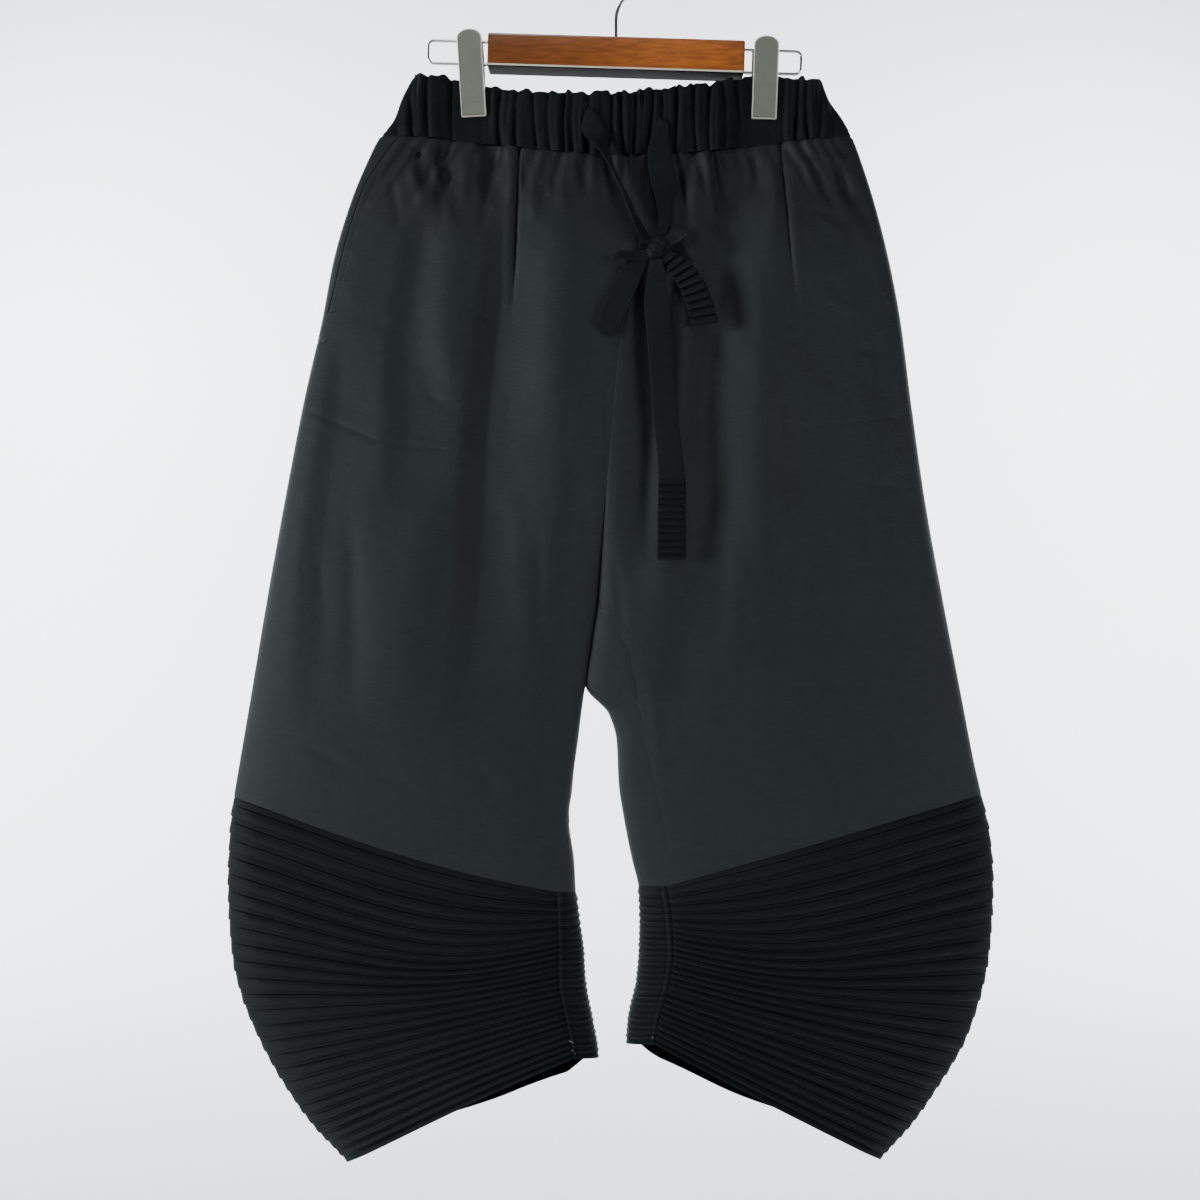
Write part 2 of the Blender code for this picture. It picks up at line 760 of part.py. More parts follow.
def strip_sections(stations, count, pleats=0, pleat_height=0.0):
    """Corner points of each section of a flat strip that lies in front of the cloth."""
    sections = []
    for number, (x, z, clear, half, angle, turn) in enumerate(between(stations, count)):
        y = front_y(x, z) - clear - half * abs(math.sin(math.radians(turn)))
        rise = pleat_height if pleats and number % 2 else 0.0
        angle, turn = math.radians(angle), math.radians(turn)
        width = Vector((math.cos(angle) * math.cos(turn), math.sin(turn), math.sin(angle) * math.cos(turn)))
        flat = Vector((math.cos(angle), 0, math.sin(angle)))
        out = width.cross(Vector((-flat.z, 0, flat.x))).normalized()
        if out.y > 0:
            out.negate()
        middle = drawn(x, y, z) + out * rise * MM
        across = width * half * MM
        thick = out * TIE_WALL / 2 * MM
        left, right = middle - across, middle + across
        sections.append([left + thick, right + thick, right - thick, left - thick])
    return sections


def add_strip(name, stations, count, material, pleats=0, pleat_height=0.0):
    sections = strip_sections(stations, count, pleats, pleat_height)
    points = [corner for section in sections for corner in section]
    faces = grid_faces(len(sections), 4, 0, True)
    last = len(points) - 4
    faces += [(3, 2, 1, 0), (last, last + 1, last + 2, last + 3)]
    return mesh_object(name, points, faces, material, 30.0)


def add_tie_knot(material):
    x, z = KNOT_CENTRE
    y = front_y(x, z) - 6.5
    bpy.ops.mesh.primitive_uv_sphere_add(segments=16, ring_count=10, radius=1.0)
    knot = adopt("tie_knot", material)
    knot.scale = Vector(KNOT_RADII) * MM
    bpy.ops.object.transform_apply(location=False, rotation=False, scale=True)
    knot.location = drawn(x, y, z)
    knot.rotation_euler = (0, math.radians(KNOT_LEAN), 0)
    return knot


# ---------------------------------------------------------------- the hanger

BAR_LENGTH, BAR_DEPTH, BAR_HEIGHT = 199.0, 19.0, 25.5
BAR_CENTRE = (-0.8, -94.9)
BAR_TILT = 1.75
WIRE = 2.4
LOOP_HALF_HEIGHT = 8.8
LOOP_REACH = {"right": 46.5, "left": 44.5}
HOOK_WIRE = 3.6
HOOK_RADIUS = 21.0


def adopt(name, material):
    """Names the object that was just added, gives it its material and puts it in the collection."""
    made = bpy.context.object
    made.name = name
    made.data.name = name
    made.data.materials.append(material)
    for collection in list(made.users_collection):
        collection.objects.unlink(made)
    bpy.data.collections[COLLECTION].objects.link(made)
    if made.type == "MESH":
        made.data.shade_smooth()
        made.data.set_sharp_from_angle(angle=math.radians(40))
    return made


def add_box(name, size, radius, material):
    bpy.ops.mesh.primitive_cube_add(size=1.0)
    box = adopt(name, material)
    box.scale = Vector(size) * MM
    bpy.ops.object.transform_apply(location=False, rotation=False, scale=True)
    rounding = box.modifiers.new("Rounded edges", "BEVEL")
    rounding.width = radius * MM
    rounding.segments = 2
    rounding.limit_method = "ANGLE"
    return box


def hanger_frame():
    """Empty at the bar's middle, leaning with the bar."""
    frame = bpy.data.objects.new("hanger_frame", None)
    bpy.data.collections[COLLECTION].objects.link(frame)
    frame.location = Vector((BAR_CENTRE[0], 0, BAR_CENTRE[1])) * MM
    frame.rotation_euler = (0, math.radians(BAR_TILT), 0)
    return frame


def add_wire(name, route, diameter, material, parent=None):
    curve = bpy.data.curves.new(name, "CURVE")
    curve.dimensions = "3D"
    curve.bevel_depth = diameter / 2 * MM
    curve.bevel_resolution = 2
    curve.use_fill_caps = True
    line = curve.splines.new("POLY")
    line.points.add(len(route) - 1)
    for point, place in zip(line.points, route):
        point.co = (*(Vector(place) * MM), 1.0)
    curve.materials.append(material)
    wire = bpy.data.objects.new(name, curve)
    wire.parent = parent
    bpy.data.collections[COLLECTION].objects.link(wire)
    return wire


def add_bar(frame, material):
    bar = add_box("hanger_bar", (BAR_LENGTH, BAR_DEPTH, BAR_HEIGHT), 2.0, material)
    bar.parent = frame
    return bar


def add_wire_loop(side, frame, material):
    sign = -1 if side == "right" else 1
    start = BAR_LENGTH / 2 + SEAM_GAP
    reach = start + LOOP_REACH[side]
    corner = 5.0
    half = LOOP_HALF_HEIGHT
    route = [(start, 0, half), (reach - corner, 0, half)]
    route += [
        (reach - corner + corner * math.sin(t), 0, half - corner + corner * math.cos(t))
        for t in np.radians((30, 60, 90))
    ]
    route += [(x, y, -z) for x, y, z in reversed(route)]
    route = [(sign * x, y, z) for x, y, z in route]
    return add_wire(f"hanger_{side}_wire", route, WIRE, material, frame)


def add_hook(material):
    radius = HOOK_RADIUS + HOOK_WIRE / 2
    centre = -HOOK_RADIUS
    foot = BAR_CENTRE[1] + BAR_HEIGHT / 2 + SEAM_GAP + 0.1
    route = [(-0.8, 0, foot), (-0.8, 0, -66), (0.0, 0, -60), (3.5, 0, -53)]
    for degrees in range(-50, 201, 14):
        t = math.radians(degrees)
        route.append((radius * math.cos(t), 0, centre + radius * math.sin(t)))
    return add_wire("hanger_hook", route, HOOK_WIRE, material)


def add_clip(side, material, slide_material):
    x, z, height, lean = CLIPS[side]
    half, arch = CLIP_WIDTH / 2, 7.0
    outline = [(-half, -height / 2), (half, -height / 2), (half, height / 2 - arch)]
    for degrees in range(15, 180, 15):
        t = math.radians(degrees)
        outline.append((half * math.cos(t), height / 2 - arch + arch * math.sin(t)))
    outline.append((-half, height / 2 - arch))
    spread = math.radians(2.6)
    for face, word in ((-1, "front"), (1, "back")):
        curve = bpy.data.curves.new(f"{side}_clip_{word}", "CURVE")
        curve.dimensions = "2D"
        curve.fill_mode = "BOTH"
        curve.extrude = CLIP_PLATE / 2 * MM
        line = curve.splines.new("POLY")
        line.points.add(len(outline) - 1)
        line.use_cyclic_u = True
        for point, place in zip(line.points, outline):
            point.co = (place[0] * MM, place[1] * MM, 0, 1)
        curve.materials.append(material)
        plate = bpy.data.objects.new(f"{side}_clip_{word}", curve)
        bpy.data.collections[COLLECTION].objects.link(plate)
        upright = Matrix.Rotation(math.radians(90) - face * spread, 4, "X")
        sway = Matrix.Rotation(math.radians(lean), 4, "Y")
        middle_y = JAW_Y + CLIP_PLATE / 2 + height / 2 * math.sin(spread)
        place = Matrix.Translation(Vector((x, face * middle_y, z)) * MM)
        plate.matrix_world = place @ sway.inverted() @ upright
    gap = 2 * (JAW_Y + (height * 0.62) * math.sin(spread)) - 2 * SEAM_GAP
    size = (14.0, gap - 0.6, 2 * LOOP_HALF_HEIGHT - WIRE - 0.8)
    slide = add_box(f"{side}_clip_slide", size, 1.0, slide_material)
    loop_z = BAR_CENTRE[1] - (x - BAR_CENTRE[0]) * math.sin(math.radians(BAR_TILT))
    slide.location = Vector((x + 1.0, 0, loop_z)) * MM
    slide.rotation_euler = (0, math.radians(BAR_TILT), 0)
    return slide


# ---------------------------------------------------------------- materials and the whole


def make_material(name, colour, roughness, metallic=0.0):
    material = bpy.data.materials.new(name)
    material.use_nodes = True
    shader = material.node_tree.nodes["Principled BSDF"]
    shader.inputs["Base Color"].default_value = (*colour, 1.0)
    shader.inputs["Roughness"].default_value = roughness
    shader.inputs["Metallic"].default_value = metallic
    material.diffuse_color = (*colour, 1.0)
    return material


def clear_scene():
    for old in list(bpy.data.objects):
        bpy.data.objects.remove(old, do_unlink=True)
    collection = bpy.data.collections.new(COLLECTION)
    bpy.context.scene.collection.children.link(collection)


def add_garment():
    for leg, word in ((-1, "right"), (1, "left")):
        cloth = make_material(f"{word} front cloth", (0.016, 0.019, 0.018), 0.62)
        front = add_leg_panel(leg, -1, f"{word}_front", cloth)
        back_cloth = make_material(f"{word} back cloth", (0.015, 0.018, 0.017), 0.64)
        add_leg_panel(leg, 1, f"{word}_back", back_cloth)
        cuff_cloth = make_material(f"{word} cuff cloth", (0.014, 0.017, 0.016), 0.6)
        add_cuff(leg, f"{word}_cuff", cuff_cloth)
        bag_cloth = make_material(f"{word} pocketing", (0.013, 0.015, 0.014), 0.7)
        add_pocket_bag(front, f"{word}_pocket_bag", bag_cloth, 7)
    add_waistband(make_material("waistband cloth", (0.013, 0.016, 0.015), 0.64))


def add_tie():
    for name, stations, count, pleats, height in (
        ("tie_right_strand", RIGHT_STRAND, 14, 0, 0.0),
        ("tie_left_strand", LEFT_STRAND, 12, 0, 0.0),
        ("tie_right_loop", RIGHT_LOOP, 12, 0, 0.0),
        ("tie_left_loop", LEFT_LOOP, 6, 0, 0.0),
        ("tie_tail", TAIL, 14, 0, 0.0),
        ("tie_long_end", LONG_END, 25, 12, 1.6),
        ("tie_short_end", SHORT_END, 21, 10, 1.6),
    ):
        cloth = make_material(f"{name} cloth", (0.015, 0.018, 0.017), 0.62)
        add_strip(name, stations, count, cloth, pleats, height)
    add_tie_knot(make_material("tie_knot cloth", (0.015, 0.018, 0.017), 0.62))


def add_hanger():
    frame = hanger_frame()
    add_bar(frame, make_material("varnished wood", (0.16, 0.055, 0.018), 0.25))
    add_hook(make_material("hook wire", (0.75, 0.75, 0.74), 0.2, 1.0))
    for side in ("right", "left"):
        add_wire_loop(side, frame, make_material(f"{side} loop wire", (0.75, 0.75, 0.74), 0.15, 1.0))
        nickel = make_material(f"{side} clip nickel", (0.36, 0.35, 0.32), 0.38, 1.0)
        add_clip(side, nickel, make_material(f"{side} slide steel", (0.5, 0.5, 0.5), 0.3, 1.0))


def main():
    clear_scene()
    add_garment()
    add_tie()
    add_hanger()
    bpy.context.view_layer.update()


if __name__ == "__main__":
    main()
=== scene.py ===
"""Looks for cropped wide-leg trousers with pleated cuffs, hanging flat from a clip hanger.

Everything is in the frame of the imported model: metres, +Z up, the garment's front facing -Y and the
origin under the hook's top. Right and left are the wearer's. Tables are in millimetres, read in the
plane of the outer folds, where nearer cloth is drawn in toward the middle of the view.
"""

import functools
import json
import math

import bmesh
import bpy
import numpy as np
from bpy.props import FloatProperty, FloatVectorProperty, IntProperty, PointerProperty
from mathutils import Matrix, Vector
from mathutils.bvhtree import BVHTree

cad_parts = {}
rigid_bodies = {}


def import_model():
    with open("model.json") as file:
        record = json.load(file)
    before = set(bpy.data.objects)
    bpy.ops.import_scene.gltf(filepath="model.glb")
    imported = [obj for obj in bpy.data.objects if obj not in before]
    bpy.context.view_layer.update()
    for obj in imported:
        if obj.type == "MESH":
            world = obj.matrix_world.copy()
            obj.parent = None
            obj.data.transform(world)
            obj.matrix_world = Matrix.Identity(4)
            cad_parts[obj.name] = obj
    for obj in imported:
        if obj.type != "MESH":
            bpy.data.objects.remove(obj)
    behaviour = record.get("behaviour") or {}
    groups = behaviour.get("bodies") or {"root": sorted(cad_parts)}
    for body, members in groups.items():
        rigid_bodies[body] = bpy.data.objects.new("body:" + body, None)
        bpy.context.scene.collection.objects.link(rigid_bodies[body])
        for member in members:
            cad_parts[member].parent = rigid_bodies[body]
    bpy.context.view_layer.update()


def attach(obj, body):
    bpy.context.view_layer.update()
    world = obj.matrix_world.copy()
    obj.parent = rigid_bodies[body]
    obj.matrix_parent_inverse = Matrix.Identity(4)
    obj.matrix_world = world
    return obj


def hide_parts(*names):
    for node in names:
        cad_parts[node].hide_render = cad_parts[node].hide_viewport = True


bl_info = {
    "name": "Cropped trousers on a clip hanger",
    "version": (1, 0, 0),
    "blender": (4, 5, 0),
    "location": "3D View > Sidebar > Trousers",
    "description": "Cloth, pleats, tie, stitching and hanger round the packed solids",
    "category": "Add Mesh",
}

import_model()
MM = 0.001
BODY = "root"

# ---- the garment's tables

VIEW_CENTRE = (-13.3, -518.0)
VIEW_DISTANCE = 940.0
VIEW_WIDTH = 936.0
SENSOR = 36
PLEATS = 26
# pleat number, place of the row of sewing across the front of the right and the left cuff
CUFF_SEAMS = ((0, 0.944, 0.917), (9, 0.928, 0.903), (26, 0.900, 0.888))
CUFF_SEAM = 0.92
CUFF_WIDTH = 195.0
BACK_COLUMNS = 112
SHADE_TOP = -0.155
WAIST_Z = -140
LEGS = ((-1, "right"), (1, "left"))
CROTCH_Z = -518.0
ROUNDING = 0.4
PINCH_HALF_DEPTH = 3.1
CLIP_X = (-113.0, 115.0)

# z, x of the right leg's outer fold, x of the left leg's
OUTER_FOLD = (
    (-100, -155, 154), (-112, -160, 159), (-128, -168, 165), (-144, -174, 176), (-159, -186, 184),
    (-175, -194, 190), (-206, -207, 200), (-253, -221, 212), (-300, -230, 221), (-362, -244, 229),
    (-440, -259, 240), (-518, -273, 254), (-596, -286, 269), (-643, -294, 278), (-674, -299, 285),
    (-705, -302, 291), (-736, -303, 293), (-768, -302, 292), (-799, -299, 289), (-830, -291, 282),
    (-861, -278, 271), (-892, -261, 253), (-924, -239, 231), (-955, -210, 203),
)
# z, x of the centre seam down to the crotch
CENTRE_SEAM = ((-100, 17), (-173, 19), (-224, 18), (-290, 8), (-326, 1), (-393, -5), (-452, -10), (-518, -15))
# z, x of the right leg's inner fold, x of the left leg's, below the crotch
INNER_FOLD = (
    (-518, -15.2, -14.8), (-552, -20.3, -19.7), (-585, -24.5, -24.3), (-607, -27.5, -6.5),
    (-628, -30.0, -0.5), (-660, -34.0, 1.0), (-690, -37.0, 5.5), (-718, -33.5, 11.0),
    (-745, -32.0, 17.0), (-768, -29.5, 18.0), (-790, -26.5, 17.5), (-814, -25.0, 15.5),
    (-845, -19.5, 9.0), (-864, -16.0, 7.8), (-880, -14.5, 7.5),
)
# z, half depth of the cloth, how far the two legs have closed round on themselves
HALF_DEPTH = (
    (-100, 12.0, 0.0), (-165, 13.0, 0.0), (-205, 16.0, 0.0), (-260, 19.5, 0.0), (-330, 21.5, 0.0),
    (-420, 22.0, 0.15), (-518, 21.0, 1.0), (-650, 20.5, 1.0), (-760, 19.5, 1.0), (-960, 15.5, 1.0),
)
# x, z of the waistband's top edge
WAIST_TOP = (
    (-188, -107), (-158, -109), (-135, -113), (-101, -119), (-54, -122.5), (0, -122.5), (34, -120),
    (62, -117), (97, -113), (128, -108.5), (140, -110.5), (158, -111.5), (186, -112),
)
# z, place of the side seam round each leg, above 0 on the front
SIDE_SEAM = (
    (-155, 0.070, -0.030), (-201, 0.026, -0.030), (-260, 0.024, -0.025), (-300, 0.012, -0.020),
    (-340, -0.014, -0.020), (-680, -0.016, -0.020),
)
# z, place of the inseam round each leg: 1 is the inner fold, less is on the front
INSEAM = (
    (-518, 1.000, 0.995), (-532, 1.010, 0.970), (-555, 1.010, 0.918), (-585, 1.010, 0.880),
    (-604, 1.010, 0.900), (-622, 1.010, 0.918), (-650, 1.008, 0.925), (-690, 1.000, 0.915),
    (-715, 0.975, 0.915), (-745, 0.950, 0.918),
)
# pleat number, drop in mm of that pleat's line below a straight one, on the right and the left cuff
PLEAT_BOW = ((0, 6, 1), (3, 15, 10), (6, 20, 16), (9, 15, 14), (13, 5, 6), (17, 0, 1), (22, -3, 0), (26, -2, 1))

# FOLDS, LAPS, GATHERS and CREASES have -1 for the front and 1 for the back.
# Broad folds, as in the solids: top x, z, foot x, z, half width, height
FOLDS = {
    -1: (
        (-99, -262, -114, -424, 13, -1), (-114, -400, -131, -560, 14, -1), (-134, -196, -128, -380, 17, 3.4),
        (-50, -190, -42, -410, 24, 3.2), (-150, -420, -172, -640, 26, 2.6), (73, -168, 82, -235, 10, 2.8),
        (76, -235, 66, -440, 14, -3.4), (65, -410, 45, -630, 15, -3), (190, -240, 214, -405, 14, -2.6),
        (151, -235, 156, -410, 20, 3.2), (118, -400, 132, -640, 28, 2.6),
    ),
    1: (
        (-140, -172, -150, -380, 15, -3), (-88, -178, -96, -430, 18, 3.2), (-47, -180, -60, -400, 12, -2.8),
        (-150, -400, -165, -640, 20, -2.6), (62, -176, 70, -380, 13, -3), (112, -180, 128, -420, 18, 3.2),
        (160, -230, 176, -430, 14, -2.8), (100, -430, 118, -640, 20, -2.6),
    ),
}
# Folds that fall away on one side of a line and rise slowly on the other: x, z of the line's top, x, z of
# its foot, width of the fall, width of the rise, depth
LAPS = {
    -1: (
        (-87, -200, -119, -650, 22, 62, 10), (-150, -200, -168, -480, 24, 44, 3.2), (88, -160, 72, -600, 34, 44, 11),
        (150, -225, 166, -690, 58, 62, 9), (34, -215, 16, -545, 24, 26, 7), (-30, -400, -52, -690, 18, 34, 2.4),
        (-214, -300, -236, -640, 22, 44, 2.4), (-135, -158, -137, -222, 7, 18, 3.6),
        (-102, -156, -94, -216, 12, 16, 4.6), (-158, -162, -146, -206, 6, 14, 2.6),
        (-74, -164, -66, -214, 7, 16, 2.2), (-50, -166, -50, -206, 6, 14, 1.8), (62, -162, 36, -216, 9, 16, 3.2),
        (76, -160, 82, -236, 8, 26, 4.2), (105, -166, 112, -214, 8, 18, 1.8), (172, -176, 190, -232, 9, 18, 2.8),
        (152, -170, 160, -204, 6, 16, 2.4),
    ),
    1: (
        (-60, -180, -96, -600, 30, 60, 5), (60, -180, 96, -620, 30, 60, 5), (-140, -200, -166, -650, 34, 50, 4),
        (140, -200, 166, -650, 34, 50, 4), (-110, -164, -116, -230, 8, 18, 3.2), (-30, -168, -34, -250, 8, 20, 2.8),
        (44, -168, 52, -236, 8, 18, 3), (122, -166, 130, -240, 8, 18, 3.2),
    ),
}
# Stitched waist tuck of each front: side of the centre, x at its top, x at its foot
TUCKS = {-1: (-79.0, -84.5), 1: (129.0, 143.0)}

# Gathers of the casing: x of each valley, depth, and how far its fold runs down the leg
GATHERS = {
    -1: (
        (-172, 1.1, 30), (-160, 2.3, 62), (-147.5, 1.7, 38), (-128.5, 2.4, 55), (-116, 1.2, 20), (-104, 1.2, 16),
        (-91.5, 2.3, 26), (-79, 2.6, 12), (-64.5, 1.9, 52), (-53, 1.3, 28), (-41, 2.4, 34), (-34.5, 1.5, 22),
        (-22, 1.2, 30), (-5.5, 2.1, 20), (4, 2.4, 24), (13.5, 1.9, 18), (27, 1.3, 20), (36, 1.5, 30), (45, 2.5, 58),
        (60.5, 2.2, 44), (72, 2.4, 68), (81.5, 1.9, 34), (93, 1.4, 40), (105, 1.2, 18), (118, 1.2, 22),
        (129, 2.3, 40), (139.5, 2.5, 62), (148, 1.8, 36), (158, 1.4, 46), (168, 1.1, 26),
    ),
    1: (
        (-170, 1.3, 40), (-158, 2.1, 28), (-149, 1.6, 60), (-133, 2.3, 34), (-121, 1.3, 18), (-106, 1.4, 24),
        (-96, 2.2, 66), (-83, 1.5, 30), (-70, 2.4, 48), (-57, 1.7, 26), (-46, 2.1, 60), (-33, 1.4, 22),
        (-20, 2.3, 42), (-8, 1.6, 30), (6, 2.2, 54), (19, 1.4, 24), (31, 2.4, 40), (42, 1.6, 62), (56, 2.1, 28),
        (66, 1.5, 46), (79, 2.4, 34), (92, 1.6, 56), (104, 1.3, 20), (122, 1.4, 26), (134, 2.2, 50), (146, 1.7, 32),
        (157, 2.1, 44), (169, 1.2, 28),
    ),
}

# Creases given one by one: x, z of one end, x, z of the other, half width, height, bow to one side
CREASES = {
    -1: (
        (-146, -172, -128, -236, 4.5, 2, 3), (-130, -168, -134, -222, 3.4, -1.9, -2),
        (-164, -176, -152, -214, 5, 1.5, 2), (-178, -184, -170, -236, 5, -1.2, 2),
        (-112, -166, -120, -216, 5, 1.4, -2), (-100, -172, -106, -242, 4, -1.4, 1), (-90, -200, -98, -300, 6, 0.9, 1),
        (-70, -164, -64, -232, 5, 1.5, 1), (-56, -170, -58, -216, 3.4, -1.3, 1), (-44, -172, -40, -224, 5, 1.2, -1),
        (-34, -168, -24, -204, 4, -1.3, 2), (-14, -170, -4, -214, 4.5, 1, 1), (-118, -292, -92, -304, 4, -0.7, 2),
        (-132, -330, -108, -318, 5, -0.6, -2), (-196, -300, -160, -318, 6, -0.6, 3),
        (-152, -352, -120, -372, 5.5, -0.6, -3), (-120, -396, -94, -392, 4, -0.6, 2),
        (-172, -404, -140, -396, 5, 0.5, 2), (-211, -428, -209, -616, 9, -0.9, 5),
        (-236, -470, -228, -560, 7, -0.6, 2), (-84, -420, -74, -560, 10, 0.9, 3), (-60, -452, -52, -590, 7, -0.8, -3),
        (-30, -430, -38, -540, 7, 0.8, 2), (-246, -634, -206, -650, 5, -0.6, 2), (-214, -628, -170, -622, 4, 0.5, -2),
        (-196, -655, -150, -664, 5, -0.5, 3), (-120, -640, -90, -672, 7, -0.6, 2), (-66, -612, -60, -700, 7, -0.7, 2),
        (73, -160, 81, -222, 3, -2, 1), (60, -164, 62, -214, 4, 1.6, 1), (46, -166, 50, -222, 3.4, -1.6, 1),
        (92, -168, 88, -226, 5.5, 1.4, -2), (104, -166, 110, -206, 4, -1.2, 1), (118, -168, 122, -232, 6, 1.6, 2),
        (136, -166, 140, -196, 4, 1.6, 1), (143, -186, 187, -180, 6.5, 1.6, 5), (143, -198, 186, -196, 4.5, -1.4, -4),
        (143, -214, 176, -226, 4.5, -1.2, 3), (150, -222, 184, -240, 6, 1, 4), (160, -265, 176, -282, 5, -1.1, 2),
        (165, -280, 192, -296, 4.5, 0.8, -2), (184, -324, 216, -326, 4.5, -0.9, 2),
        (168, -172, 182, -214, 4.5, -1.4, 2), (176, -196, 192, -246, 6, 1.1, 2), (120, -250, 116, -352, 8, -0.9, 2),
        (96, -260, 100, -340, 7, 0.9, -2), (60, -236, 52, -310, 6, 1, 2), (46, -330, 38, -470, 7, 0.9, 2),
        (30, -350, 22, -500, 6, -0.9, -2), (92, -440, 84, -600, 9, 0.9, 3), (190, -420, 204, -560, 9, -0.8, 3),
        (196, -428, 232, -436, 4, -0.6, 2), (180, -462, 214, -456, 4, 0.5, -2), (168, -500, 226, -492, 5, -0.5, 3),
        (208, -606, 240, -626, 5, -0.5, 2), (150, -590, 200, -604, 6, 0.5, 3), (20, -560, 34, -660, 6, 0.8, 2),
        (70, -630, 110, -650, 7, -0.5, 2), (-6, -470, 4, -560, 5, -0.8, 2),
    ),
    1: (
        (-150, -172, -140, -250, 4.5, -1.7, 2), (-120, -170, -126, -230, 5, 1.6, -2),
        (-100, -172, -106, -290, 4, -1.5, 2), (-70, -170, -66, -240, 4.5, 1.4, 1),
        (-30, -176, -26, -260, 4, -1.4, -2), (-180, -190, -172, -260, 5, 1.1, 2),
        (-196, -300, -160, -330, 6, -0.8, 3), (-140, -340, -100, -352, 5, -0.7, 3),
        (-200, -430, -196, -600, 9, -0.9, 4), (-90, -420, -80, -580, 9, 0.9, 3), (-230, -640, -180, -654, 5, -0.6, 3),
        (-110, -640, -80, -690, 7, -0.6, 2), (40, -170, 46, -240, 4.5, 1.5, 2), (66, -172, 60, -300, 4, -1.6, -2),
        (92, -170, 98, -240, 5, 1.4, 2), (128, -172, 136, -260, 4, -1.5, 2), (152, -180, 190, -196, 5, -1.1, 4),
        (160, -230, 196, -246, 5, 0.9, 4), (176, -300, 212, -318, 5, -0.8, 2), (40, -380, 36, -520, 8, 0.9, 2),
        (80, -440, 70, -600, 9, -0.9, 3), (200, -430, 212, -590, 9, 0.8, 4), (180, -610, 236, -626, 5, -0.6, 3),
        (60, -640, 100, -664, 7, -0.5, 2),
    ),
}


# Flat strips of the tie: x, z, clearance in front of the cloth, half width, direction of the width in
# degrees from +X toward +Z, turn of the strip out of the picture plane in degrees
STRIPS = {
    "tie_right_strand": (
        (-24, -138, 3.2, 3.4, 58, 0), (-22, -145, 3.2, 7.6, 44, 5), (-18.5, -153, 3.2, 8.8, 33, 14),
        (-13, -163, 3.6, 8.8, 28, 46), (-7.5, -174, 4.4, 8.6, 26, 66), (0, -190, 5, 8.5, 25, 72),
        (8, -207, 4.8, 8.5, 24, 72), (15, -223, 4.4, 8, 24, 64), (22.3, -238.8, 4.6, 4.4, 20, 35),
    ),
    "tie_left_strand": (
        (36, -146, 3.2, 4.5, -30, 0), (34.5, -156, 3.2, 6, -18, 10), (33, -166, 3.4, 8.6, -10, 12),
        (33.4, -177, 4, 9.6, 0, 10), (34.5, -190, 4.2, 9.2, 4, 10), (36, -205, 4.4, 7.4, 4, 20),
        (37, -219, 4.6, 5.4, 0, 25), (34.6, -235.4, 5.2, 4.2, -4, 8),
    ),
    "tie_right_loop": (
        (21.5, -251, 6.4, 3.8, -40, 10), (15.5, -257, 5.8, 6.6, -36, 8), (10.5, -265, 5.2, 8.6, -31, 5),
        (6, -274, 5, 9.2, -29, 0), (1.5, -283, 5, 9.3, -28, 0), (-3, -293, 4.8, 9.3, -29, 0),
        (-7, -302, 4.4, 9.3, -32, 0), (-9.8, -308.5, 4, 9.2, -36, 0),
    ),
    "tie_left_loop": (
        (38.6, -240.2, 6.6, 4.2, 130, 5), (43.5, -236.5, 6.6, 5.5, 128, 10), (47.5, -233, 6.2, 7, 124, 20),
        (51.5, -230, 5.6, 7, 122, 30),
    ),
    "tie_tail": (
        (30, -253.8, 8.4, 5, 2, 0), (30.5, -270, 7, 7.5, 4, 0), (30.5, -285, 6, 9.2, 2, 0),
        (32, -305, 4.8, 9.5, 0, 4), (34, -330, 4.2, 9.4, -2, 8), (36, -355, 4, 9.5, -4, 5),
        (38, -380, 4, 9.6, -3, 0), (41, -405, 4, 9.8, -2, 0), (42.5, -422.4, 4, 10.2, -2, 0),
    ),
    "tie_long_end": (
        (42.6, -422.9, 4, 10.4, -2, 0), (42.3, -455, 4, 10.6, 0, 0), (42.2, -487, 4, 10.8, 1, 0),
    ),
    "tie_short_end": (
        (36.4, -250.4, 5, 5, 42, 0), (49, -261, 4.8, 8.5, 34, 0), (57.5, -273, 4.6, 9.6, 24, 0),
        (64, -288, 4, 10.2, 14, 0), (68, -304, 3.6, 10.4, 8, 0),
    ),
}
# The back strand of the wearer's right loop, seen edge on above its front strand
LOOP_BACK = (
    (25.0, -249.6, 7.6, 4.0, 84, 0), (17, -251.2, 7.4, 5.2, 88, 20), (8, -250.6, 7.0, 5.6, 96, 35),
    (1, -250.4, 6.4, 5.0, 100, 50), (-3, -253.5, 6.0, 5.5, 84, 60),
)
END_PLEATS = {"tie_long_end": 12, "tie_short_end": 10}
KNOT_CENTRE = (30.5, -245.5)
KNOT_RADII = (6.4, 4.6, 9.4)
KNOT_LEAN = 38.0

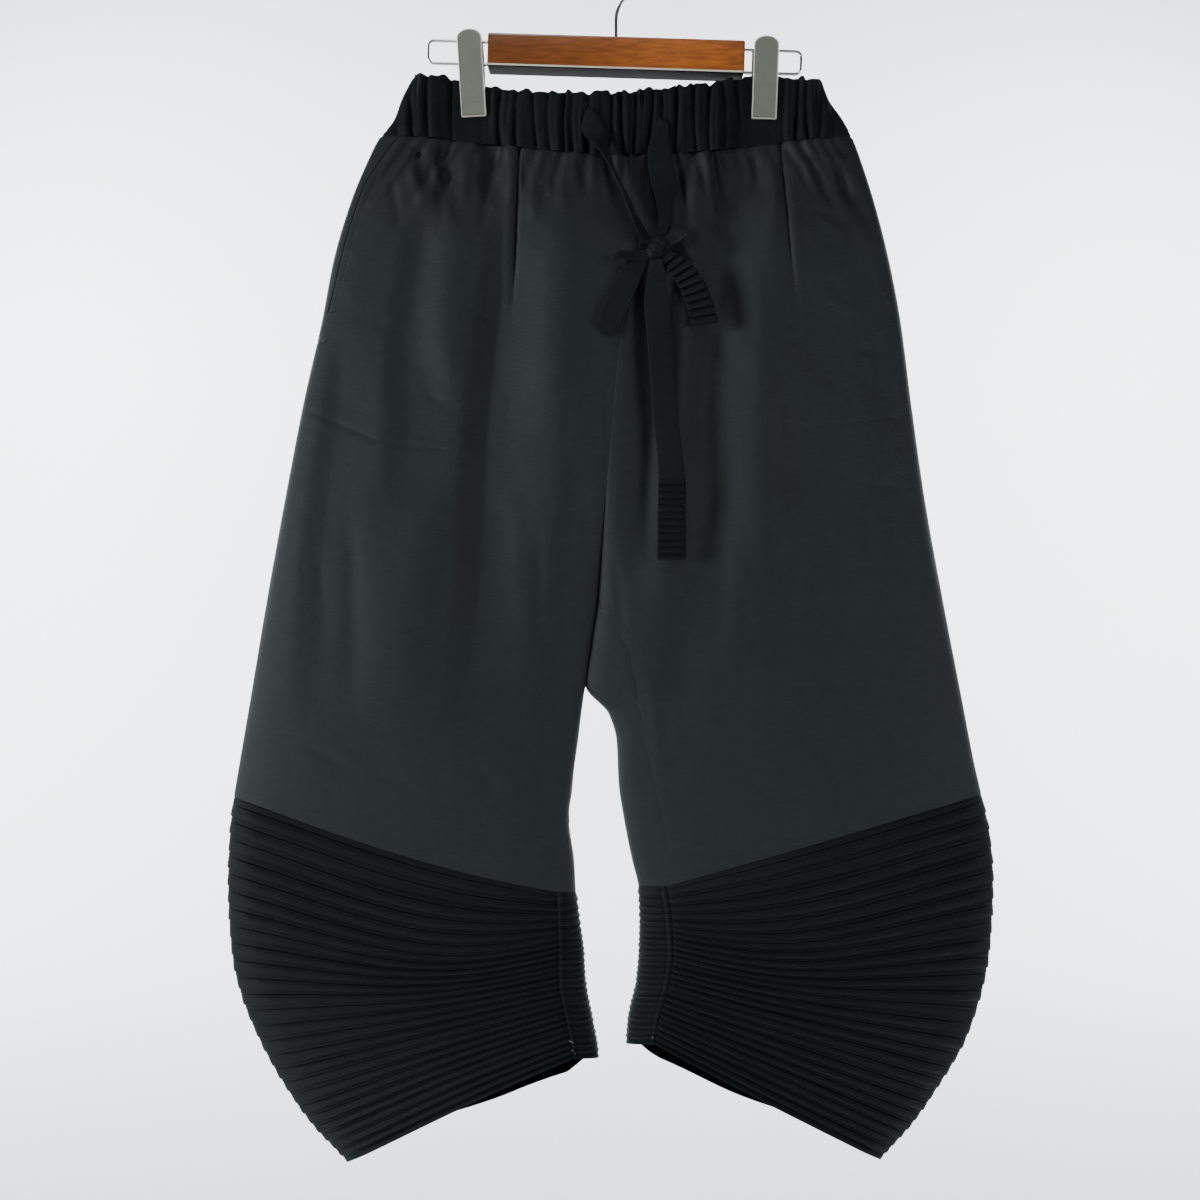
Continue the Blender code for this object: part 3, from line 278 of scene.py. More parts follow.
# Rows of sewing on the front (-1) or back (1): name, side, spacing of a second row or 0, x and z along it
SEWING = (
    ("right_front", "bag", -1, 0, (
        (-241.8, -371.3), (-212.9, -383), (-186.4, -394.7), (-167.7, -397), (-126.4, -402.5), (-125.6, -391.6),
    )),
    ("left_front", "bag", -1, 0, ((131, -365.8), (130.3, -388.4), (163, -382.2), (195.8, -379.1), (227, -374.4))),
    ("right_front", "opening", -1, 0, (
        (-181.7, -174.7), (-186.4, -186.4), (-192.7, -199.7), (-198.9, -213.7), (-204.4, -230.1), (-209, -247.3),
        (-214.5, -266), (-220, -284.7),
    )),
    ("right_front", "tack", -1, 1.1, ((-228, -292), (-223.1, -294.8), (-218.4, -290.9))),
    ("right_front", "low_fly", -1, 0, (
        (1.2, -314.3), (1, -338), (-9, -353.3), (-8.2, -393.1), (-10.8, -423.5), (-14, -451.6), (-19, -512),
    )),
    ("left_front", "fly", -1, 0, ((22, -176), (21.8, -223.9))),
    ("left_front", "low_fly", -1, 0, ((6, -313), (5, -330))),
    ("left_front", "inseam", -1, 0, (
        (-7.4, -519), (-2, -541), (8.5, -556), (14.5, -587), (17.6, -616), (25.2, -646), (36.2, -698), (38.6, -716),
    )),
    ("right_cuff", "seam", -1, 2.2, (
        (-47, -747), (-47, -780), (-45.5, -810.4), (-42.3, -828.4), (-39.2, -844.7), (-34.5, -869),
    )),
    ("left_cuff", "seam", -1, -2.2, (
        (40, -742), (43.9, -767.5), (44.7, -794.8), (43.1, -808.9), (40.8, -822.1), (34.5, -841.6), (29.5, -858),
    )),
    ("right_back", "seat", 1, 0, (
        (15, -178), (14.6, -224), (4.8, -290), (-2.4, -326), (-8.2, -393), (-13.2, -452), (-18, -510),
    )),
    ("left_back", "seat", 1, 0, (
        (22.4, -178), (22, -224), (12, -290), (4.8, -326), (-1, -393), (-6, -452), (-9, -505),
    )),
)
# White thread ends left at the seams: x, z, length, lean in degrees
THREAD_ENDS = (
    ("right_cuff", -46.4, -744.6, 2.2, 20), ("left_cuff", 35.4, -738.5, 1.8, -30), ("right_cuff", -37.4, -862, 3.2, 65),
    ("right_cuff", -35.4, -869, 4.4, 40), ("left_cuff", 27.8, -858.6, 1.8, 10),
)
# Buttonholes in the casing: x, z of the top, x, z of the foot
BUTTONHOLES = ((-25.4, -129.6, -26.2, -141.0), (36.0, -134.6, 39.2, -154.4))

# Clips: x, z of the middle, height, lean in degrees
CLIPS = {"right": (-113.0, -109.5, 67.0, 3.3), "left": (115.0, -113.0, 63.5, -1.8)}
CLIP_WIDTH = 19.5
CLIP_PLATE = 1.6
CLIP_SPREAD = 2.6
JAW_Y = 3.7
BAR = (199.0, 19.0, 25.5)
BAR_CENTRE = (-0.8, -94.9)
BAR_TILT = 1.75
LOOP_HALF_HEIGHT = 8.8
LOOP_REACH = {"right": 46.5, "left": 44.5}
HOOK_RADIUS = 21.0
HOOK_WIRE = 3.6

# Flat cut of what shows of each sewn piece: piece, width, length, area or None, how it is held, what it rests on
CUTS = (
    ("waistband_casing", 0.045, 1.01, None, "gathered", "right_front"),
    ("right_front_cloth", 0.33, 0.60, 0.143, "hung", "waistband"),
    ("left_front_cloth", 0.33, 0.60, 0.136, "hung", "waistband"),
    ("right_back_cloth", 0.35, 0.60, 0.139, "hung", "waistband"),
    ("left_back_cloth", 0.35, 0.60, 0.138, "hung", "waistband"),
    ("right_cuff_pleats", 0.56, 0.30, 0.155, "folded", "right_front"),
    ("left_cuff_pleats", 0.56, 0.30, 0.158, "folded", "left_front"),
    ("right_pocket_bag_cloth", 0.13, 0.205, None, "hung", "right_front"),
    ("left_pocket_bag_cloth", 0.12, 0.204, None, "hung", "left_front"),
    ("tie_right_strand_tape", 0.017, 0.112, None, "hung", "waistband"),
    ("tie_left_strand_tape", 0.0156, 0.090, None, "hung", "waistband"),
    ("tie_right_loop_tape", 0.018, 0.082, None, "folded", "tie_knot"),
    ("tie_left_loop_tape", 0.012, 0.018, None, "folded", "tie_knot"),
    ("tie_tail_tape", 0.0185, 0.170, None, "hung", "tie_knot"),
    ("tie_long_end_tape", 0.021, 0.092, None, "folded", "tie_tail"),
    ("tie_short_end_tape", 0.018, 0.090, None, "folded", "tie_knot"),
)


# ---- settings that a user may change


def a_length(name, description, default):
    return FloatProperty(name=name, description=description, default=default, unit="LENGTH")


def a_share(name, description, default):
    return FloatProperty(name=name, description=description, default=default)


def a_colour(name, description, default):
    return FloatVectorProperty(name=name, description=description, default=default, subtype="COLOR")


class TrouserSettings(bpy.types.PropertyGroup):
    """Sizes and finishes of the cloth, the tie and the hanger."""

    cloth_wall: a_length("Cloth wall", "Thickness of the cloth with its seams", 0.0012)
    cloth_colour: a_colour("Cloth colour", "Colour of the black cloth", (0.0050, 0.0077, 0.0086))
    cloth_roughness: a_share("Cloth roughness", "Dullness of the cloth", 0.66)
    cloth_sheen: a_share("Cloth sheen", "Soft light along the cloth's edges", 0.05)
    pleat_depth: a_length("Pleat depth", "Height of a cuff pleat's edge at the outer fold", 0.0026)
    pleat_depth_inner: a_length("Pleat depth at the inseam", "Height of a closed pleat's edge", 0.0014)
    stitch_length: a_length("Stitch length", "One stitch and its gap", 0.0030)
    thread: a_length("Thread", "Thickness of the sewing thread", 0.00042)
    front_columns: IntProperty(name="Front columns", description="Columns across a front's mesh", default=170)
    wood_dark: a_colour("Dark wood", "The bar's darker grain", (0.16, 0.040, 0.0065))
    wood_light: a_colour("Light wood", "The bar's lighter grain", (0.34, 0.095, 0.013))
    nickel: a_colour("Clip metal", "Colour of the satin clips", (0.24, 0.24, 0.205))


def settings():
    return bpy.context.scene.trousers


# ---- the cloth's surface


@functools.lru_cache(maxsize=None)
def columns_of(table, column):
    rows = sorted(table)
    keys = np.array([row[0] for row in rows], float)
    values = np.array([row[column] for row in rows], float)
    rates = np.diff(values) / np.diff(keys)
    before, after = rates[:-1], rates[1:]
    same = before * after > 0
    inner = np.where(same, 2 * before * after / np.where(same, before + after, 1.0), 0.0)
    return keys, values, np.concatenate([rates[:1], inner, rates[-1:]])


def read(table, key, column):
    """The table's value at key, on a smooth line through its rows."""
    keys, values, slopes = columns_of(table, column)
    key = np.clip(np.asarray(key, float), keys[0], keys[-1])
    i = np.clip(np.searchsorted(keys, key, side="right") - 1, 0, len(keys) - 2)
    length = keys[i + 1] - keys[i]
    t = (key - keys[i]) / length
    low = (2 * t**3 - 3 * t**2 + 1) * values[i] + (t**3 - 2 * t**2 + t) * length * slopes[i]
    high = (3 * t**2 - 2 * t**3) * values[i + 1] + (t**3 - t**2) * length * slopes[i + 1]
    return low + high


def smooth(t):
    t = np.clip(t, 0.0, 1.0)
    return t * t * (3 - 2 * t)


def bump(t):
    """1 at 0, falling softly to 0 at -1 and 1 and beyond."""
    t = np.clip(np.abs(t), 0.0, 1.0)
    return (1 - t * t) ** 2


def bell(t):
    return np.exp(-(t**2))


def leg_column(leg):
    return 1 if leg < 0 else 2


def outer_x(leg, z):
    return read(OUTER_FOLD, z, leg_column(leg))


def across_leg(leg, a, z0, z1=None):
    """x at fraction a from the outer fold at height z0 to the inner fold at height z1."""
    start = outer_x(leg, z0)
    return start + a * (inner_x(leg, z0 if z1 is None else z1) - start)


def closing(z):
    return np.clip(read(HALF_DEPTH, z, 2), 0, 1)


def inner_x(leg, z):
    above = read(CENTRE_SEAM, z, 1) - leg * (0.10 + 0.50 * smooth(closing(z) / 0.08))
    lapped = 0.8 * smooth((np.asarray(z) + 589) / 8)
    below = read(INNER_FOLD, z, leg_column(leg)) - leg * lapped
    return np.where(np.asarray(z) > CROTCH_Z, above, below)


def clip_distance(x):
    return np.minimum(np.abs(x - CLIP_X[0]), np.abs(x - CLIP_X[1]))


def half_depth(a, x, z):
    depth, closed = read(HALF_DEPTH, z, 1), closing(z)
    a = np.clip(a, 0.0, 1.0)
    open_form = (a * (2 - a)) ** ROUNDING
    closed_form = (4 * a * (1 - a)) ** ROUNDING
    y = depth * ((1 - closed) * open_form + closed * closed_form)
    pressed = smooth((40 - clip_distance(x)) / 27) * smooth((np.asarray(z) + 240) / 90)
    return y * (1 - pressed) + np.minimum(y, PINCH_HALF_DEPTH) * pressed


def drawn(x, y, z):
    """World places in metres of places read in the plane of the folds, at depth y."""
    nearer = 1 - (np.sqrt(y * y + 25) - 5) / VIEW_DISTANCE
    world_x = VIEW_CENTRE[0] + (x - VIEW_CENTRE[0]) * nearer
    world_z = VIEW_CENTRE[1] + (z - VIEW_CENTRE[1]) * nearer
    return np.stack(np.broadcast_arrays(world_x, y, world_z), axis=-1) * MM


def round_place(s):
    """(fraction from the outer to the inner fold, -1 on the front or 1 on the back) at loop place s."""
    s = np.asarray(s, float)
    a = np.where(s > 1, 2 - s, np.where(s < -1, 2 + s, np.abs(s)))
    side = np.where(s > 1, 1, np.where(s < -1, -1, np.where(s >= 0, -1, 1)))
    return a, side


def waist_seam_z(leg, a):
    share = np.minimum(np.abs(across_leg(leg, a, WAIST_Z) - 10.0) / 190.0, 1.0)
    return -171.6 + 7.8 * (1 - np.cos(math.pi * share))


def crotch_row_z(a):
    return -470 + (CROTCH_Z + 470) * a


@functools.lru_cache(maxsize=None)
def outer_ends(leg):
    """x, z of every pleat's end on the outer fold. Pleats close up toward the hem."""
    heights = np.linspace(-671 if leg < 0 else -669, -955 if leg < 0 else -953, 60)
    edge = outer_x(leg, heights)
    along = np.concatenate([[0], np.cumsum(np.hypot(np.diff(edge), np.diff(heights)))])
    counts = np.arange(PLEATS)
    pitch = np.where(counts < 14, 1.0, 1.0 - 0.5 * (counts - 13) / (PLEATS - 13))
    share = np.concatenate([[0], np.cumsum(pitch)]) / pitch.sum()
    return np.interp(share * along[-1], along, heights)


@functools.lru_cache(maxsize=None)
def inner_ends(leg):
    top, bottom = (-745.0, -874.0) if leg < 0 else (-740.0, -863.0)
    pitch = np.where(np.arange(PLEATS) < 6, 1.0 + 0.5 * (6 - np.arange(PLEATS)) / 6, 1.0)
    share = np.concatenate([[0], np.cumsum(pitch)]) / pitch.sum()
    return top + (bottom - top) * share


def cuff_seam(leg, pleat):
    return read(CUFF_SEAMS, pleat, leg_column(leg))


def toward_seam(s, seam):
    """Places round a cuff, moved so that the column at CUFF_SEAM follows the row of sewing."""
    return np.where(s < 0, s, np.where(s < CUFF_SEAM, s * seam / CUFF_SEAM, 1 - (1 - s) * (1 - seam) / (1 - CUFF_SEAM)))


def cuff_line(leg, a, side, pleat):
    """x, z at fraction a along a pleat's line."""
    z0 = np.interp(pleat, range(PLEATS + 1), outer_ends(leg))
    z1 = np.interp(pleat, range(PLEATS + 1), inner_ends(leg))
    level = np.minimum(a / cuff_seam(leg, pleat), 1.0)
    z = z0 + (z1 - z0) * level - read(PLEAT_BOW, pleat, leg_column(leg)) * np.sin(math.pi * level**1.3)
    drop = 18.0 * smooth(a / 0.65) * smooth((1.0 - a) / 0.13) * (np.asarray(pleat) / PLEATS) ** 2
    z = np.where(side > 0, z - drop, z)
    return across_leg(leg, a, z0, z1), z


def cuff_point(leg, s, pleat):
    a, side = round_place(s)
    x, z = cuff_line(leg, a, side, pleat)
    y = read(HALF_DEPTH, z, 1) * np.clip(4 * a * (1 - a), 0, 1) ** ROUNDING
    return drawn(x, side * y, z)


def body_place(leg, s, v):
    """x, z in the plane and the half depth at (s, v). v is 0 at the waist seam, 1 past the crotch, 2 at the cuff."""
    a, side = round_place(s)
    top = waist_seam_z(leg, a)
    low = cuff_line(leg, a, np.full_like(a, -1), 0.0)[1]
    middle = crotch_row_z(a)
    z = np.where(v <= 1, top + (middle - top) * v, middle + (low - middle) * (v - 1))
    x = across_leg(leg, a, z)
    return x, z, side * half_depth(a, x, z)


def loose_noise(x, z, seed):
    """Slow unevenness of hanging cloth, from -1 to 1."""
    total = 0.0
    for number, (size, share) in enumerate(((71, 0.5), (43, 0.3), (23, 0.2))):
        turn = 1.3 * number + seed
        u = x * math.cos(turn) - z * math.sin(turn)
        w = x * math.sin(turn) + z * math.cos(turn)
        total = total + share * np.sin(u / size * 2.1 + seed * 3) * np.cos(w / size * 1.4 + 1.7 * number)
    return total


def gather_fall(leg, side, x, z, a):
    """Folds that run down from the casing's gathers."""
    height = np.zeros_like(x)
    down = waist_seam_z(leg, a) - z
    for number, (middle, depth, run) in enumerate(GATHERS[side]):
        spread = 1 + down / 240
        here = 10 + (middle - 10) * spread + 2.0 * np.sin(down / 26 + number)
        width = 3.2 + down / 26
        fade = smooth(1 - down / (run * 1.6)) * (0.75 + 0.25 * smooth(down / 8))
        height -= depth * 1.05 * fade * bell((x - here) / width)
        height += depth * 0.46 * fade * bell((x - here - 5.5 * spread) / (width * 1.2))
    return height * (1 - 0.6 * smooth((16 - clip_distance(x)) / 6) * smooth(1 - down / 20))


def crease_height(side, x, z):
    height = np.zeros_like(x)
    for x0, z0, x1, z1, width, rise, bow in CREASES[side]:
        length = math.hypot(x1 - x0, z1 - z0)
        ux, uz = (x1 - x0) / length, (z1 - z0) / length
        along = ((x - x0) * ux + (z - z0) * uz) / length
        across = (x - x0) * -uz + (z - z0) * ux - bow * np.sin(math.pi * np.clip(along, 0, 1))
        ends = smooth(along / 0.35) * smooth((1 - along) / 0.35)
        height += 0.95 * rise * ends * bell(across / (width * (0.7 + 0.35 * along)))
    return height


def sewn_height(leg, side, x, z):
    """Grooves and puckers that the rows of sewing draw into a leg."""
    height = np.zeros_like(x)
    for node, word, sewn_side, _, line in SEWING:
        if sewn_side != side or word in ("seam", "tack") or node.startswith("right") != (leg < 0):
            continue
        deep, pucker = {"bag": (0.6, 0.10), "opening": (0.8, 0.30)}.get(word, (0.25, 0.10))
        nearest = np.full_like(x, 1e3)
        place = np.zeros_like(x)
        start = 0.0
        for (x0, z0), (x1, z1) in zip(line, line[1:]):
            length = math.hypot(x1 - x0, z1 - z0)
            t = np.clip(((x - x0) * (x1 - x0) + (z - z0) * (z1 - z0)) / length**2, 0, 1)
            off = np.hypot(x - x0 - (x1 - x0) * t, z - z0 - (z1 - z0) * t)
            closer = off < nearest
            place = np.where(closer, start + t * length, place)
            nearest = np.where(closer, off, nearest)
            start += length
        height -= deep * bell(nearest / 1.9)
        wave = np.sin(place / 2.3 + 1.3 * np.sin(place / 7.0)) * (0.6 + 0.4 * np.sin(place / 11.0 + x / 9.0))
        height += pucker * wave * bell((nearest - 3.2) / 4.0) * smooth(nearest / 1.6)
    return height


def fold_height(side, x, z):
    height = np.zeros_like(x)
    for x0, z0, x1, z1, width, rise in FOLDS[side]:
        t = (z0 - z) / (z0 - z1)
        middle = x0 + (x1 - x0) * t + 3 * np.sin(2.5 * math.pi * t)
        ends = smooth(t / 0.25) * smooth((1 - t) / 0.35)
        height += rise * ends * bell((x - middle) / width)
    return height


def lap_height(side, x, z):
    height = np.zeros_like(x)
    for x0, z0, x1, z1, fall, rise, depth in LAPS[side]:
        t = (z0 - z) / (z0 - z1)
        off = x - x0 - (x1 - x0) * t - 0.10 * fall * np.sin(3 * math.pi * t + x0)
        wide = 0.8 + 0.4 * np.clip(t, 0, 1)
        ends = smooth((t + 0.02) / 0.22) * smooth((1.02 - t) / 0.45)
        height -= depth * ends * np.where(off < 0, smooth(1 + off / (fall * wide)), smooth(1 - off / (rise * wide)))
    return height


def unit(along, down, turn):
    """Unit directions square to two others. turn is 1 or -1."""
    out = np.cross(along, down) * turn
    return out / np.maximum(np.linalg.norm(out, axis=-1, keepdims=True), 1e-12)


def grid_normals(points, turn, ring=False):
    """Outward directions of a grid of points, from its neighbours."""
    along = np.roll(points, -1, axis=1) - np.roll(points, 1, axis=1) if ring else np.gradient(points, axis=1)
    return unit(along, np.gradient(points, axis=0), turn)


# ---- meshes


def mm(x, y, z):
    return Vector((x, y, z)) * MM


def arc(u, v, radius, first, last, step):
    """Points round (u, v), one at each step of degrees."""
    turns = [math.radians(degrees) for degrees in range(first, last, step)]
    return [(u + radius * math.cos(t), v + radius * math.sin(t)) for t in turns]


def mesh_piece(name, points, faces, material, slot, uv=None, sharp=60.0, inside_shade=None, outer=0, replaces=True):
    """A visible piece. Faces that use only points after the outer ones get the second material: a darker copy of the
    cloth, painted shade on the inner faces.
    """
    mesh = bpy.data.meshes.new(name)
    mesh.from_pydata([tuple(p) for p in points], [], [tuple(map(int, face)) for face in faces])
    mesh.update()
    if uv is not None:
        layer = mesh.uv_layers.new(name="Cloth")
        corners = np.zeros(len(mesh.loops), np.int64)
        mesh.loops.foreach_get("vertex_index", corners)
        layer.data.foreach_set("uv", np.asarray(uv, np.float32)[corners].ravel())
    shape = bmesh.new()
    shape.from_mesh(mesh)
    bmesh.ops.recalc_face_normals(shape, faces=shape.faces)
    shape.to_mesh(mesh)
    shape.free()
    mesh.shade_smooth()
    mesh.set_sharp_from_angle(angle=math.radians(sharp))
    mesh.materials.append(material)
    if inside_shade is not None:
        mesh.materials.append(inside_shade)
        for face in mesh.polygons:
            face.material_index = int(min(face.vertices) >= outer)
    piece = bpy.data.objects.new(name, mesh)
    bpy.context.scene.collection.objects.link(piece)
    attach(piece, BODY)
    if replaces:
        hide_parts(slot)
    return piece


def joined(name, parts, material, slot, sharp=60.0, replaces=False):
    """One piece from a list of (points, faces)."""
    points, faces = [], []
    for some, sides in parts:
        faces += [[n + len(points) for n in side] for side in sides]
        points += some
    return mesh_piece(name, points, faces, material, slot, None, sharp, replaces=replaces)


def grid_faces(rows, columns, first=0, ring=True):
    i = np.arange(rows - 1)[:, None]
    j = np.arange(columns if ring else columns - 1)[None, :]
    k = (j + 1) % columns
    a, b = first + i * columns + j, first + i * columns + k
    return [*np.stack([a, b, b + columns, a + columns], axis=-1).reshape(-1, 4)]


def end_caps(total, sides):
    """Faces over the first and the last ring of a tube."""
    return [range(sides)[::-1], range(total - sides, total)]


def cloth_piece(node, word, outer, inner, step, ring, uv, sharp, cloth, inside_shade=None):
    """A node's cloth as a thin wall: a fine outer grid, and a plainer inner one from each step's row."""
    rows, columns = outer.shape[:2]
    kept = sorted(set(range(0, rows, step)) | {rows - 1})
    start = rows * columns
    points = np.concatenate([outer.reshape(-1, 3), inner[kept].reshape(-1, 3)])
    j = np.arange(columns if ring else columns - 1)
    k = (j + 1) % columns
    last_out, last_in = start - columns, start + (len(kept) - 1) * columns
    faces = grid_faces(rows, columns, 0, ring) + [f[::-1] for f in grid_faces(len(kept), columns, start, ring)]
    faces += [*np.stack([k, j, start + j, start + k], axis=-1)]
    faces += [*np.stack([last_out + j, last_out + k, last_in + k, last_in + j], axis=-1)]
    for number, (low, high) in enumerate([] if ring else zip(kept, kept[1:])):
        for column, turn in ((0, 1), (columns - 1, -1)):
            edge = [r * columns + column for r in range(low, high + 1)]
            back = [start + (number + 1) * columns + column, start + number * columns + column]
            faces.append((edge + back)[::turn])
    uv = np.concatenate([uv.reshape(-1, 2), uv[kept].reshape(-1, 2)])
    return mesh_piece(f"{node}_{word}", points, faces, cloth, node, uv, sharp, inside_shade, start)


# ---- finishes


class Finish:
    """A procedural material while its nodes are wired. An input's name has _ for each space."""

    def __init__(self, name):
        self.material = bpy.data.materials.new(name)
        self.material.use_nodes = True
        self.tree = self.material.node_tree

    def plug(self, socket, value):
        if isinstance(value, bpy.types.NodeSocket):
            self.tree.links.new(value, socket)
        else:
            socket.default_value = value

    def feed(self, node, values):
        for word, value in values.items():
            self.plug(node.inputs[word.replace("_", " ")], value)

    def add(self, kind, modes=None, **values):
        """A new node's outputs, with its modes set and its inputs given values or links."""
        node = self.tree.nodes.new("ShaderNode" + kind)
        for word, value in (modes or {}).items():
            setattr(node, word, value)
        self.feed(node, values)
        return node.outputs

    def math(self, operation, *values):
        node = self.tree.nodes.new("ShaderNodeMath")
        node.operation = operation
        for socket, value in zip(node.inputs, values):
            self.plug(socket, value)
        return node.outputs["Value"]

    def noise(self, scale, detail=2.0, distortion=0.0, place=None, turn=0.0):
        """Noise of one scale, or of three over the places given."""
        if place is None:
            return self.add("TexNoise", Scale=scale)["Fac"]
        mapped = self.add("Mapping", Vector=place, Scale=scale, Rotation=(0.0, 0.0, turn))["Vector"]
        return self.add("TexNoise", Vector=mapped, Scale=1.0, Detail=detail, Distortion=distortion)["Fac"]

    def bump(self, height, strength, distance, **normal):
        return self.add("Bump", Height=height, Strength=strength, Distance=distance, **normal)["Normal"]

    def spread(self, value, low, high, modes=None, **reach):
        return self.add("MapRange", modes, Value=value, To_Min=low, To_Max=high, **reach)["Result"]

    def times(self, one, other):
        modes = {"data_type": "RGBA", "blend_type": "MULTIPLY"}
        return self.add("Mix", modes, Factor=1.0, A=one, B=other)["Result"]

    def ramp(self, factor, *stops):
        """Colours along (place, colour) stops."""
        node = self.tree.nodes.new("ShaderNodeValToRGB")
        elements = node.color_ramp.elements
        for number, (place, colour) in enumerate(stops):
            inner = 0 < number < len(stops) - 1
            element = elements.new(place) if inner else elements[-1 if number else 0]
            element.position, element.color = place, (*colour, 1.0)
        self.plug(node.inputs["Fac"], factor)
        return node.outputs["Color"]

    def made(self, **values):
        self.feed(self.tree.nodes["Principled BSDF"], values)
        return self.material


def black_cloth(name, lightness=1.0, turn=0.0, rib=1.0, waist=None):
    """Crisp black plain weave: fine level ribs, faint slubs, a cool cast and a soft sheen.

    With waist, a height in metres, the cloth is darker in the shade of the gathers just below it.
    """
    choice, finish = settings(), Finish(name)
    place = finish.add("UVMap", {"uv_map": "Cloth"})["UV"]
    ribs = finish.noise((420, 2100 * rib, 1), 2.0, 0.0, place, turn)
    slubs = finish.noise((70, 760 * rib, 1), 2.0, 0.0, place, turn)
    cast = finish.noise((9, 7, 1), 3.0, 0.0, place, turn)
    crumple = finish.bump(finish.noise((42, 50, 1), 5.0, 0.5, place, turn), 0.48, 0.0016)
    colour = np.array(choice.cloth_colour) * lightness
    tint = finish.ramp(cast, (0.38, colour * (0.92, 1.04, 0.94)), (0.62, colour * (1.02, 0.97, 1.10)))
    shade = finish.spread(slubs, 0.80, 1.20, From_Min=0.3, From_Max=0.7)
    if waist is not None:
        height = finish.add("SeparateXYZ", Vector=place)["Y"]
        modes = {"interpolation_type": "SMOOTHSTEP"}
        dusk = finish.spread(height, 0.34, 1.0, modes, From_Min=waist, From_Max=waist - 0.12)
        shade = finish.math("MULTIPLY", dusk, shade)
    shine = min(lightness, 1.0)
    return finish.made(
        Base_Color=finish.times(tint, shade),
        Normal=finish.bump(finish.math("MULTIPLY_ADD", slubs, 0.9, ribs), 0.42, 0.0004, Normal=crumple),
        Roughness=finish.spread(ribs, choice.cloth_roughness - 0.06, choice.cloth_roughness + 0.08),
        Sheen_Weight=choice.cloth_sheen * shine,
        Sheen_Roughness=0.45,
        Sheen_Tint=(0.55, 0.62, 0.66, 1.0),
        Specular_IOR_Level=0.30 * shine,
    )


def sewing_thread(name, colour):
    finish, colour = Finish(name), np.array(colour)
    twist = finish.noise(900)
    tone = finish.ramp(twist, (0, colour * 0.7), (1, colour * 1.3))
    bumps = finish.bump(twist, 0.4, 0.0001)
    return finish.made(Base_Color=tone, Normal=bumps, Roughness=0.75, Specular_IOR_Level=0.2)


def varnished_wood():
    """Red-brown wood with fine grain along the bar under a clear varnish."""
    choice, finish = settings(), Finish("varnished wood")
    place = finish.add("TexCoord")["Object"]
    grain = finish.noise((60, 300, 620), 6.0, 0.6, place)
    tone = finish.ramp(grain, (0.3, choice.wood_dark), (0.72, choice.wood_light))
    # Painted light along the bar: darkest at the left end, lightest right of the middle, a little darker again at the
    # right end.
    along = finish.add("SeparateXYZ", Vector=place)["X"]
    along = finish.spread(along, 0.0, 1.0, From_Min=-0.1, From_Max=0.1)
    stops = ((0.0, 0.52), (0.35, 0.75), (0.75, 1.25), (1.0, 1.0))
    painted_glow = finish.ramp(along, *((stop, (grey,) * 3) for stop, grey in stops))
    tone, bumps = finish.times(tone, painted_glow), finish.bump(grain, 0.08, 0.0003)
    return finish.made(Base_Color=tone, Normal=bumps, Roughness=0.3, Coat_Weight=0.7, Coat_Roughness=0.12)


def metal(name, colour, roughness, brush=(40, 40, 900), depth=0.12, metallic=1.0):
    """Plated metal with a faint brushed grain and soft marks."""
    finish, colour = Finish(name), np.array(colour)
    grain = finish.noise(brush, 4.0, 0.0, finish.add("TexCoord")["Object"])
    tone = finish.ramp(grain, (0, colour * 0.86), (1, colour * 1.12))
    gloss, bumps = finish.spread(grain, roughness * 0.75, roughness * 1.3), finish.bump(grain, depth, 0.0001)
    return finish.made(Base_Color=tone, Roughness=gloss, Normal=bumps, Metallic=metallic)


def painted_shade_black():
    """Near black for the bar's downward faces, painted shade, dull, with faint marks in its gloss."""
    finish = Finish("black lacquer")
    gloss = finish.spread(finish.noise(60), 0.55, 0.7)
    return finish.made(Roughness=gloss, Base_Color=(0.003, 0.0025, 0.0025, 1), Specular_IOR_Level=0.06)


# ---- leg panels


def panel_places(leg, side, v, columns):
    """Loop places of a panel's grid: a row for each v, from its side seam to its centre seam or inseam."""
    v = v[:, None]
    start = read(SIDE_SEAM, body_place(leg, np.zeros_like(v), v)[1], leg_column(leg))
    seam = read(INSEAM, body_place(leg, np.ones_like(v), v)[1], leg_column(leg))
    turn_columns, edge_columns = 8, 10
    if side > 0:
        knee = np.where(start > 0, 0.0, start - 0.03)
        past = np.maximum(-1.0, seam - 2 + 0.03)
        knees = np.where(v > 1, past, -0.94 - 0.045 * smooth((v - 0.7) / 0.3))
        end = np.where(v > 1, seam - 2, -1.0)
    else:
        knee = np.where(start > 0, start + 0.03, 0.0)
        end = np.where(v > 1, seam, 1.0)
        knees = end - 0.05
    first = 1 - (1 - np.linspace(0, 1, turn_columns, endpoint=False)[None, :]) ** 2
    middle = np.linspace(0, 1, columns - turn_columns - edge_columns, endpoint=False)[None, :]
    middle = 0.12 * middle + 0.88 * smooth(middle)
    last = np.linspace(0, 1, edge_columns)[None, :]
    if side > 0:
        last = last**1.6
    return np.concatenate(
        [start + (knee - start) * first, knee + (knees - knee) * middle, knees + (end - knees) * last], axis=1
    )


